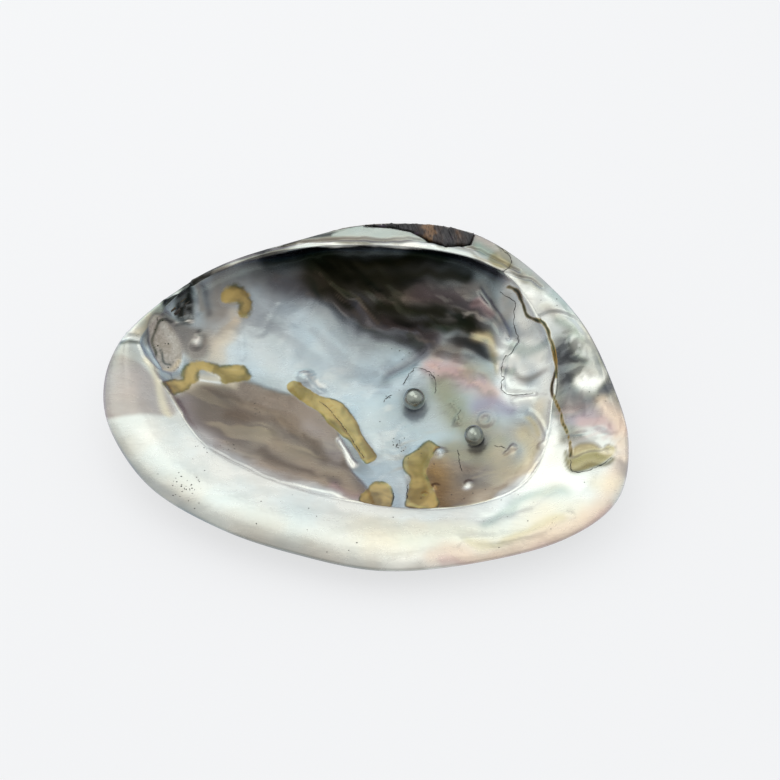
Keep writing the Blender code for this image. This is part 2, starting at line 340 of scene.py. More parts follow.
@dataclass
class ValveForm:
    """The valve's true surfaces, which the finished skin follows: the nacre side and the outside."""

    centre: Point = (0.0, 12.0)
    bowl_depth: float = 22.0
    outer_depth: float = 25.2
    edge_thickness: float = 0.95
    foot_ring: float = 0.70
    crest_ring: float = 0.75
    tilt: float = math.radians(12.0)
    crest_rise: float = 0.6
    hinge_rise: float = 2.0
    crest_lean: float = 0.5
    roll_height: float = 0.5
    roll_start: float = 0.42
    hinge_dip: float = -0.2
    hinge_fall: float = 0.8
    rim_level: Compass = (-1.4, -1.0, -1.6, -1.6)
    bowl_flat: Compass = (0.62, 0.80, 0.62, 0.55)
    bowl_shoulder: Compass = (0.95, 0.95, 0.95, 0.85)
    bowl_wall: Compass = (0.32, 0.34, 0.34, 0.28)
    outer_flat: Compass = (0.49, 0.77, 0.56, 0.365)
    outer_shoulder: Compass = (0.79, 0.98, 0.92, 0.74)
    outer_shoulder_level: Compass = (-9.8, -11.5, -10.8, -9.2)
    hinge_span: Span = (22.0, 44.0, 134.0, 156.0)
    hollow_span: Span = (26.0, 62.0, 104.0, 142.0)
    bulge_span: Span = (16.0, 66.0, 100.0, 168.0)
    hollow_reach: float = 0.32
    hollow_drop: float = 0.12
    bulge_reach: float = 0.24
    slope_step: float = 0.4
    rim: Sequence[Point] = (
        (-84.5, 4.0), (-80.5, 19.5), (-68.0, 33.5), (-49.0, 47.0), (-22.5, 56.5), (-1.0, 62.0),
        (24.0, 62.0), (40.0, 57.0), (56.0, 44.5), (71.0, 26.0), (79.5, 4.0), (83.0, -15.0), (78.0, -34.0),
        (60.0, -46.5), (32.0, -53.5), (5.0, -55.7), (-20.0, -51.0), (-44.0, -43.0), (-66.5, -30.0),
        (-80.5, -12.0),
    )
    crest: Sequence[tuple[float, float, float]] = (
        (-74.5, 20.5, -3.0), (-69.0, 29.0, -2.4), (-60.5, 37.5, -1.6), (-50.5, 44.0, -0.8),
        (-36.0, 50.0, -0.2), (-22.5, 52.7, 0.0), (-9.0, 53.8, 0.0), (11.0, 53.4, 0.0), (28.0, 51.0, 0.0),
        (40.0, 47.0, -0.3), (50.0, 39.5, -1.0), (58.3, 25.0, -2.8), (61.7, 11.0, -4.4), (60.2, -2.0, -5.2),
        (57.5, -14.5, -6.0), (52.5, -24.5, -6.6), (42.0, -31.5, -7.0), (23.5, -35.0, -7.5),
        (1.5, -33.5, -8.0), (-20.5, -28.8, -8.0), (-40.0, -21.0, -8.0), (-53.5, -12.5, -7.5),
        (-64.0, 2.0, -6.5), (-71.5, 14.0, -4.6),
    )
    ligament: Sequence[Point] = (
        (-1.0, 61.6), (10.0, 62.6), (21.0, 62.6), (30.0, 61.0), (36.0, 58.6), (34.6, 54.4), (26.5, 53.4),
        (20.5, 55.9), (14.8, 59.4), (8.0, 61.0),
    )
    ligament_bottom: float = -1.8
    ligament_thickness: float = 2.2
    rim_curve: AngleCurve = field(init=False)
    crest_curve: AngleCurve = field(init=False)
    place: ValveFrame = field(init=False)

    def __post_init__(self) -> None:
        """Lays out the rim and the crest, and finds where the valve lies in the model."""
        self.rim_curve = AngleCurve(self.rim, self.centre)
        self.crest_curve = AngleCurve(self.crest, self.centre)
        self.place = ValveFrame.from_ligament(self.ligament, self.ligament_bottom, self.tilt)

    def at(self, reach: np.ndarray, angle: np.ndarray, level: np.ndarray) -> np.ndarray:
        """The point at that distance and angle from the bowl's centre, and at that height."""
        return np.stack([
            self.centre[0] + reach * np.cos(angle), self.centre[1] + reach * np.sin(angle), level,
        ], axis=-1)

    def inside(self, ring: np.ndarray, angle: np.ndarray) -> np.ndarray:
        """The nacre side.

        Args:
            ring: 0 at the bowl's floor, foot_ring and crest_ring at the crest's foot and top, 1 at the rim.
            angle: the angle about the bowl's centre.

        Returns:
            The points.
        """
        hinge, hollow = share_along(angle, self.hinge_span), share_along(angle, self.hollow_span)
        crest_reach, crest_level = self.crest_curve.reach(angle), self.crest_curve.level(angle)
        crest_rise = self.crest_rise + (self.hinge_rise - self.crest_rise) * hinge
        foot_reach = crest_reach - self.crest_lean * (1.0 - hinge)
        foot_level = crest_level - crest_rise

        t = np.clip(ring / self.foot_ring, 0.0, 1.0)
        near = round_the_valve(angle, self.bowl_flat) * crest_reach
        far = round_the_valve(angle, self.bowl_shoulder) + self.hollow_reach * hollow
        wall = round_the_valve(angle, self.bowl_wall) + self.hollow_drop * hollow
        far_level = foot_level - wall * (self.bowl_depth + foot_level)
        bowl_reach = bezier(t, 0.0, near, far * crest_reach, foot_reach)
        bowl_level = bezier(t, -self.bowl_depth, -self.bowl_depth, far_level, foot_level)

        climb = np.clip((ring - self.foot_ring) / (self.crest_ring - self.foot_ring), 0.0, 1.0)
        face_reach = foot_reach + (crest_reach - foot_reach) * climb
        face_level = foot_level + crest_rise * climb

        out = np.clip((ring - self.crest_ring) / (1.0 - self.crest_ring), 0.0, 1.0)
        rim_level = round_the_valve(angle, self.rim_level)
        roll_near = crest_level * self.roll_start * (1.0 - hinge) + self.hinge_dip * hinge
        roll_far = self.roll_height + (rim_level * self.hinge_fall - self.roll_height) * hinge
        band_reach = crest_reach + (self.rim_curve.reach(angle) - crest_reach) * out
        band_level = bezier(out, crest_level, roll_near, roll_far, rim_level)

        places = [ring >= self.crest_ring, ring > self.foot_ring]
        return self.at(
            np.select(places, [band_reach, face_reach], bowl_reach),
            angle,
            np.select(places, [band_level, face_level], bowl_level),
        )

    def outside(self, ring: np.ndarray, angle: np.ndarray) -> np.ndarray:
        """The outer skin, with ring running from 0 under the bowl's floor to 1 at the rim.

        Args:
            ring: how far out the point is.
            angle: the angle about the bowl's centre.

        Returns:
            The points.
        """
        rim_reach = self.rim_curve.reach(angle)
        rim_level = round_the_valve(angle, self.rim_level) - self.edge_thickness
        near = round_the_valve(angle, self.outer_flat) * rim_reach
        shoulder = round_the_valve(angle, self.outer_shoulder)
        far = (shoulder + self.bulge_reach * share_along(angle, self.bulge_span)) * rim_reach
        far_level = round_the_valve(angle, self.outer_shoulder_level)
        reach = bezier(ring, 0.0, near, far, rim_reach)
        level = bezier(ring, -self.outer_depth, -self.outer_depth, far_level, rim_level)
        return self.at(reach, angle, level)

    def nacre_at(self, places: Sequence[Point], on_band: bool) -> tuple[np.ndarray, np.ndarray]:
        """The nacre's points under some x and y, and the normals there.

        Args:
            places: x and y of each.
            on_band: whether to look between the crest and the rim, or else in the bowl.

        Returns:
            The points and the upward unit normals.
        """
        rings = np.linspace(*((self.crest_ring, 1.0, 160) if on_band else (0.0, self.foot_ring, 320)))
        step = self.slope_step
        offset = np.array(places, float) - np.array(self.centre)

        def height(shift_x: float, shift_y: float) -> np.ndarray:
            """The nacre's height at each place moved by that much."""
            x, y = offset[:, 0] + shift_x, offset[:, 1] + shift_y
            levels = []
            for angle, reach in zip(np.arctan2(y, x), np.hypot(x, y)):
                section = self.inside(rings, np.full_like(rings, angle))
                out = np.hypot(section[:, 0] - self.centre[0], section[:, 1] - self.centre[1])
                turn = len(out) if on_band else int(np.argmax(out)) + 1
                levels.append(np.interp(reach, out[:turn], section[:turn, 2]))
            return np.array(levels)

        here = np.column_stack([np.array(places, float), height(0.0, 0.0)])
        normal = np.column_stack([
            -(height(step, 0.0) - height(-step, 0.0)) / (2.0 * step),
            -(height(0.0, step) - height(0.0, -step)) / (2.0 * step),
            np.ones(len(here)),
        ])
        return here, normal / np.linalg.norm(normal, axis=1, keepdims=True)


class Side(Enum):
    """Which part of the nacre side a mark belongs to."""

    BOWL = "bowl"
    BAND = "band"
    CREST = "crest and band"
    BOTH = "both"


BOWL, BAND, CREST, BOTH = Side


class Tone(Enum):
    """The nacre's colours, named as a shell worker would; the darkest also serve as painted shade and painted
    dark reflection, and the whitest as painted highlights.
    """

    PORCELAIN = srgb(230, 233, 227)
    PEARL_WHITE = srgb(248, 249, 242)
    CREAM = srgb(238, 228, 202)
    PEACH = srgb(224, 200, 180)
    ROSE = srgb(196, 164, 166)
    LILAC = srgb(178, 168, 167)
    VIOLET = srgb(150, 146, 172)
    ICE = srgb(184, 200, 205)
    ICE_WHITE = srgb(206, 219, 221)
    STEEL = srgb(140, 148, 158)
    SLATE = srgb(92, 96, 106)
    CHARCOAL = srgb(46, 48, 54)
    SOOT = srgb(18, 16, 18)
    UMBER = srgb(52, 44, 38)
    MULBERRY = srgb(88, 74, 82)
    SEA_GREEN = srgb(158, 178, 170)
    MOSS = srgb(146, 150, 130)
    OLIVE = srgb(140, 130, 88)
    STRAW = srgb(206, 196, 158)
    HONEY = srgb(182, 168, 128)
    CARAMEL = srgb(150, 122, 78)
    CHALK = srgb(210, 207, 199)
    SHELF = srgb(178, 184, 180)
    BRONZE = srgb(82, 70, 34)
    TAUPE = srgb(142, 130, 120)
    DUSK = srgb(122, 110, 98)
    TAN = srgb(168, 148, 120)
    SAND = srgb(190, 176, 152)
    ASH = srgb(168, 164, 156)
    GREY = srgb(128, 124, 120)


@dataclass(frozen=True)
class Wash:
    """A soft stroke of colour along a line, or a spot where the line has one point."""

    colour: Tone
    line: Sequence[Point]
    width: float
    strength: float = 0.85
    side: Side | None = None


@dataclass(frozen=True)
class Patch:
    """A closed patch of colour with an edge of its own softness."""

    colour: Tone
    outline: Sequence[Point]
    edge: float = 1.0
    strength: float = 1.0
    side: Side | None = None


@dataclass(frozen=True)
class Ridge:
    """A raised line, or a groove where its height is negative, with a round section."""

    line: Sequence[Point]
    width: float
    height: float
    side: Side | None = None


@dataclass(frozen=True)
class Plate:
    """An area that stands proud of its surroundings, or sinks below them, with a step round it."""

    outline: Sequence[Point]
    height: float
    edge: float = 0.5
    side: Side | None = None


@dataclass(frozen=True)
class Hammered:
    """An area beaten into dents and folds: their size, depth and run."""

    line: Sequence[Point]
    width: float
    wavelength: float
    height: float
    run: float = 0.0
    stretch: float = 1.0
    side: Side | None = None


@dataclass(frozen=True)
class Streaks:
    """An area streaked with a colour, with the streaks' width, run and length."""

    colour: Tone
    line: Sequence[Point]
    width: float
    wavelength: float
    run: float = 0.0
    stretch: float = 3.5
    strength: float = 0.6
    side: Side | None = None


Mark = Wash | Patch | Ridge | Plate | Hammered | Streaks


@dataclass
class NacreCanvas:
    """The nacre side's points, on which relief and colour are laid."""

    place: np.ndarray
    ring: np.ndarray
    crest_ring: float
    side: Side = BOWL
    bare: Colour = srgb(226, 230, 226)
    bowl_glaze: Colour = (0.95, 0.87, 0.93)
    band_glaze: Colour = (1.0, 0.975, 0.965)
    bowl_gamma: float = 1.2
    wash_fade: Point = (1.4, 2.4)
    ridge_fade: Point = (2.2, 2.0)
    area_fade: Point = (1.2, 3.0)
    streak_edge: float = 0.45
    steps: int = 4
    ridge_steps: int = 5
    wander: Grain = field(default_factory=lambda: Grain(11))
    relief: np.ndarray = field(init=False)
    colour: np.ndarray = field(init=False)
    loose: np.ndarray = field(init=False)
    soft: np.ndarray = field(init=False)

    def __post_init__(self) -> None:
        """Starts level and plain, with the places made to wander a little for every mark."""
        self.relief = np.zeros(len(self.place))
        self.colour = np.tile(np.array(self.bare), (len(self.place), 1))
        self.loose = self.wander.warp(self.wander.warp(self.place, 9.0, 0.8), 2.4, 0.3)
        self.soft = self.wander.warp(self.wander.warp(self.place, 14.0, 2.4), 4.0, 0.9)

    def on(self, side: Side | None) -> np.ndarray:
        """1 on that part of the nacre side, or else the part being worked on, and 0 elsewhere."""
        side = side or self.side
        if side is BOTH:
            return np.ones(len(self.ring))
        middle = self.crest_ring - 0.02
        if side is CREST:
            return smooth_step(middle - 0.03, middle - 0.01, self.ring)
        return (self.ring >= middle if side is BAND else self.ring < middle).astype(float)

    def stroke(self, mark: Wash | Ridge | Hammered | Streaks, place: np.ndarray, steps: int,
               fade: Point) -> np.ndarray:
        """How much of a stroke each point gets.

        Args:
            mark: the stroke, 1 on its line.
            place: the points, as they wander.
            steps: how finely its line is curved.
            fade: how fast it fades with the distance, and with which power of it.

        Returns:
            The shares.
        """
        line = open_curve(mark.line, steps) if len(mark.line) > 2 else np.array(mark.line, float)
        rate, power = fade
        return self.on(mark.side) * np.exp(-rate * (distance_to_line(place, line) / mark.width) ** power)

    def from_outline(self, outline: Sequence[Point]) -> np.ndarray:
        """Distance from each point, as it wanders, to a smooth outline, negative inside."""
        return signed_distance(self.loose, closed_curve(outline, self.steps))

    def cover(self, mark: Patch | Plate) -> np.ndarray:
        """How much of a patch or plate each point gets."""
        far = self.from_outline(mark.outline)
        return self.on(mark.side) * (1.0 - smooth_step(-mark.edge, mark.edge, far))

    def turned(self, run: float, stretch: float) -> np.ndarray:
        """The places turned so that x runs that way, and drawn together along it."""
        along = self.soft @ np.array([[math.cos(run), -math.sin(run)], [math.sin(run), math.cos(run)]])
        along[:, 0] /= stretch
        return along

    def mix(self, colour: Tone, share: np.ndarray) -> None:
        """Moves the colour that far towards another."""
        self.colour += (np.array(colour.value) - self.colour) * np.clip(share, 0.0, 1.0)[:, None]

    def wash(self, mark: Wash) -> None:
        """Lays one soft stroke."""
        self.mix(mark.colour, mark.strength * self.stroke(mark, self.soft, self.steps, self.wash_fade))

    def patch(self, mark: Patch) -> None:
        """Lays one patch."""
        self.mix(mark.colour, mark.strength * self.cover(mark))

    def ridge(self, mark: Ridge) -> None:
        """Raises one ridge or sinks one groove."""
        self.relief += mark.height * self.stroke(mark, self.loose, self.ridge_steps, self.ridge_fade)

    def plate(self, mark: Plate) -> None:
        """Raises or sinks one plate."""
        self.relief += mark.height * self.cover(mark)

    def streak(self, mark: Streaks) -> None:
        """Streaks one area."""
        turned = self.turned(mark.run, mark.stretch)
        lines = self.wander.at(turned + 57.0, mark.wavelength)
        lines += 0.5 * self.wander.at(turned, 0.4 * mark.wavelength)
        share = smooth_step(0.0, self.streak_edge, lines)
        share *= self.stroke(mark, self.soft, self.steps, self.area_fade)
        self.mix(mark.colour, mark.strength * share)

    def hammer(self, mark: Hammered) -> None:
        """Beats one area."""
        turned = self.turned(mark.run, mark.stretch)
        dents = self.wander.at(turned, mark.wavelength)
        dents += 0.4 * self.wander.at(turned + 31.0, 0.47 * mark.wavelength)
        self.relief += mark.height * dents * self.stroke(mark, self.soft, self.steps, self.area_fade)

    def lay(self, marks: Sequence[Mark], side: Side) -> None:
        """Lays marks one on another, on that side where they name none."""
        self.side = side
        ways = {Wash: self.wash, Patch: self.patch, Ridge: self.ridge, Plate: self.plate,
                Streaks: self.streak, Hammered: self.hammer}
        for mark in marks:
            ways[type(mark)](mark)

    def glaze(self) -> None:
        """Tints everything a little at the end, and deepens the bowl's darker colours."""
        on_band = self.on(CREST)[:, None]
        self.colour = self.colour ** (self.bowl_gamma + (1.0 - self.bowl_gamma) * on_band)
        tint = np.array(self.bowl_glaze) * (1.0 - on_band) + np.array(self.band_glaze) * on_band
        self.colour *= tint + (1.0 - tint) * self.colour.mean(axis=1, keepdims=True) ** 2


@dataclass
class ValveSkin:
    """The finished valve: a fine nacre skin and an outer skin, joined round the rim into one closed body."""

    form: ValveForm
    cells: int = 272
    rim_inset: float = 0.35
    seat_depth: float = 0.3
    level_from: float = 0.972
    bulge_drop: float = 0.30
    lower_drop: float = 0.72
    lower_inset: float = 0.06
    under_shade: float = 0.3
    rough_span: Span = (4.0, 20.0, 60.0, 200.0)

    @staticmethod
    def ring_and_angle(a: np.ndarray, b: np.ndarray) -> tuple[np.ndarray, np.ndarray]:
        """Turns a point of the square from -1 to 1 into a ring and an angle.

        Args:
            a: the point's first coordinate.
            b: its second.

        Returns:
            The ring and the angle.
        """
        ring = np.maximum(np.abs(a), np.abs(b))
        wide = np.abs(a) >= np.abs(b)
        safe_a, safe_b = np.where(a == 0.0, 1.0, a), np.where(b == 0.0, 1.0, b)
        angle = np.where(wide, 0.25 * math.pi * b / safe_a, 0.5 * math.pi - 0.25 * math.pi * a / safe_b)
        return ring, np.where(np.where(wide, a, b) < 0.0, angle + math.pi, angle)

    def grid(self, cells: int) -> tuple[np.ndarray, np.ndarray, np.ndarray]:
        """A square grid of cells, as rings and angles, and its quads.

        Args:
            cells: how many cells across.

        Returns:
            The rings, the angles, and the quads' corner numbers, turning anticlockwise.
        """
        line = np.linspace(-1.0, 1.0, cells + 1)
        a, b = np.meshgrid(line, line, indexing="ij")
        number = np.arange((cells + 1) ** 2).reshape(cells + 1, cells + 1)
        quads = np.stack([number[:-1, :-1], number[1:, :-1], number[1:, 1:], number[:-1, 1:]], axis=-1)
        ring, angle = self.ring_and_angle(a, b)
        return ring.ravel(), angle.ravel(), quads.reshape(-1, 4)

    @staticmethod
    def border(cells: int) -> np.ndarray:
        """The numbers of a grid's border points, anticlockwise from its first corner."""
        number = np.arange((cells + 1) ** 2).reshape(cells + 1, cells + 1)
        return np.concatenate([number[:-1, 0], number[-1, :-1], number[:0:-1, -1], number[0, :0:-1]])

    @staticmethod
    def normals(place: np.ndarray, cells: int) -> np.ndarray:
        """Unit normals of a grid's points, facing up where the grid does."""
        square = place.reshape(cells + 1, cells + 1, 3)
        across, along = np.gradient(square, axis=0), np.gradient(square, axis=1)
        normal = np.cross(across, along).reshape(-1, 3)
        return normal / np.maximum(np.linalg.norm(normal, axis=1, keepdims=True), 1e-12)

    def chips(self, angle: np.ndarray) -> np.ndarray:
        """How far the rim is worn back at each angle, in millimetres."""
        round_line = np.stack([np.cos(angle), np.sin(angle)], axis=1)
        rough = share_along(angle, self.rough_span)
        small = np.maximum(Grain(5).at(round_line, 0.022), 0.0) ** 2
        large = np.maximum(Grain(6).at(round_line, 0.07) - 0.35, 0.0)
        return 0.12 + 0.1 * Grain(7).at(round_line, 0.3) + rough * (0.5 * small + 0.8 * large)

    def build(self, marks: "NacreMarks", rings: "GrowthRings") -> bpy.types.Object:
        """Makes the valve's mesh, with its colours and masks as attributes.

        Args:
            marks: what is to be seen on the nacre.
            rings: the ridges that will be cut in the outside.

        Returns:
            The valve.
        """
        form, fine, plain = self.form, self.cells, self.cells // 2
        ring, angle, quads = self.grid(fine)
        nacre = form.inside(ring, angle)
        up = self.normals(nacre, fine)
        canvas = NacreCanvas(nacre[:, :2], ring, form.crest_ring)
        masks = marks.lay(canvas)
        nacre += up * (canvas.relief * (1.0 - smooth_step(self.level_from, 1.0, ring)))[:, None]
        seat = 1.0 - smooth_step(-0.1, 0.5, signed_distance(nacre[:, :2], np.array(form.ligament)))
        seat *= ring > form.crest_ring
        nacre[:, 2] += (np.minimum(nacre[:, 2], form.ligament_bottom - self.seat_depth) - nacre[:, 2]) * seat

        outer_ring, outer_angle, outer_quads = self.grid(plain)
        outer = form.outside(outer_ring, outer_angle)

        edge, outer_edge = self.border(fine), self.border(plain)
        worn = self.chips(angle[edge])
        inward = -np.stack([np.cos(angle[edge]), np.sin(angle[edge])], axis=1)
        nacre[edge, :2] += inward * (self.rim_inset + worn)[:, None]
        outer[outer_edge, :2] += inward[::2] * (self.rim_inset + worn[::2])[:, None]
        bulge = form.inside(np.ones(len(edge)), angle[edge])
        bulge[:, :2] += inward * worn[:, None]
        bulge[:, 2] = nacre[edge, 2] - self.bulge_drop * form.edge_thickness
        lower = bulge.copy()
        lower[:, 2] = nacre[edge, 2] - self.lower_drop * form.edge_thickness
        lower[:, :2] += inward * self.lower_inset

        places = np.concatenate([nacre, bulge, lower, outer])
        in_model = form.place.to_model(places)
        in_model[:, 2] = np.maximum(in_model[:, 2], 0.0)
        faces, outside = self.faces(quads, outer_quads, edge, outer_edge)
        valve = mesh_object("shell_valve", in_model, faces=faces)
        valve.data.shade_smooth()

        rings_out = np.concatenate([ring, np.ones(2 * len(edge)), outer_ring])
        colour = canvas.colour
        tint = np.concatenate([
            colour, colour[edge], colour[edge] * self.under_shade, np.zeros((len(outer), 3)),
        ])
        growth = np.zeros(len(places))
        growth[-len(outer):] = rings.depth_share(outer_ring, in_model[-len(outer):, 2] / MM)
        add_attribute(valve.data, "tint", np.column_stack([tint, np.ones(len(tint))]))
        rest = np.full(len(places) - len(ring), FAR_AWAY)
        for name, values in masks.items():
            add_attribute(valve.data, name, np.concatenate([values, rest]))
        for name, values in (("ring", rings_out), ("valve_place", places), ("growth", growth)):
            add_attribute(valve.data, name, values)
        valve.data.attributes.new("outside", "BOOLEAN", "FACE").data.foreach_set("value", outside)
        valve.data.validate()
        return valve

    @staticmethod
    def faces(quads: np.ndarray, outer_quads: np.ndarray, edge: np.ndarray,
              outer_edge: np.ndarray) -> tuple[list[tuple[int, ...]], list[bool]]:
        """Joins the nacre to the outside, round the rim.

        Args:
            quads: the nacre's quads.
            outer_quads: the outside's quads, counted from 0.
            edge: the nacre's border points.
            outer_edge: the outside's border points, half as many, counted from 0.

        Returns:
            All the faces, and whether each belongs to the outside.
        """
        count = len(edge)
        first_bulge = int(quads.max()) + 1
        first_lower, first_outer = first_bulge + count, first_bulge + 2 * count
        faces = [tuple(q) for q in quads.tolist()]
        outside = [False] * len(faces)
        for k in range(count):
            n = (k + 1) % count
            faces.append((int(edge[n]), int(edge[k]), first_bulge + k, first_bulge + n))
            faces.append((first_bulge + n, first_bulge + k, first_lower + k, first_lower + n))
            outside += [False, True]
        for k in range(0, count, 2):
            here = first_outer + int(outer_edge[k // 2])
            there = first_outer + int(outer_edge[(k // 2 + 1) % len(outer_edge)])
            faces.append((first_lower + (k + 2) % count, first_lower + k + 1, here))
            faces.append((first_lower + k + 1, first_lower + k, here))
            faces.append((first_lower + (k + 2) % count, here, there))
            outside += [True] * 3
        faces += [tuple(first_outer + v for v in reversed(q)) for q in outer_quads.tolist()]
        return faces, outside + [True] * len(outer_quads)


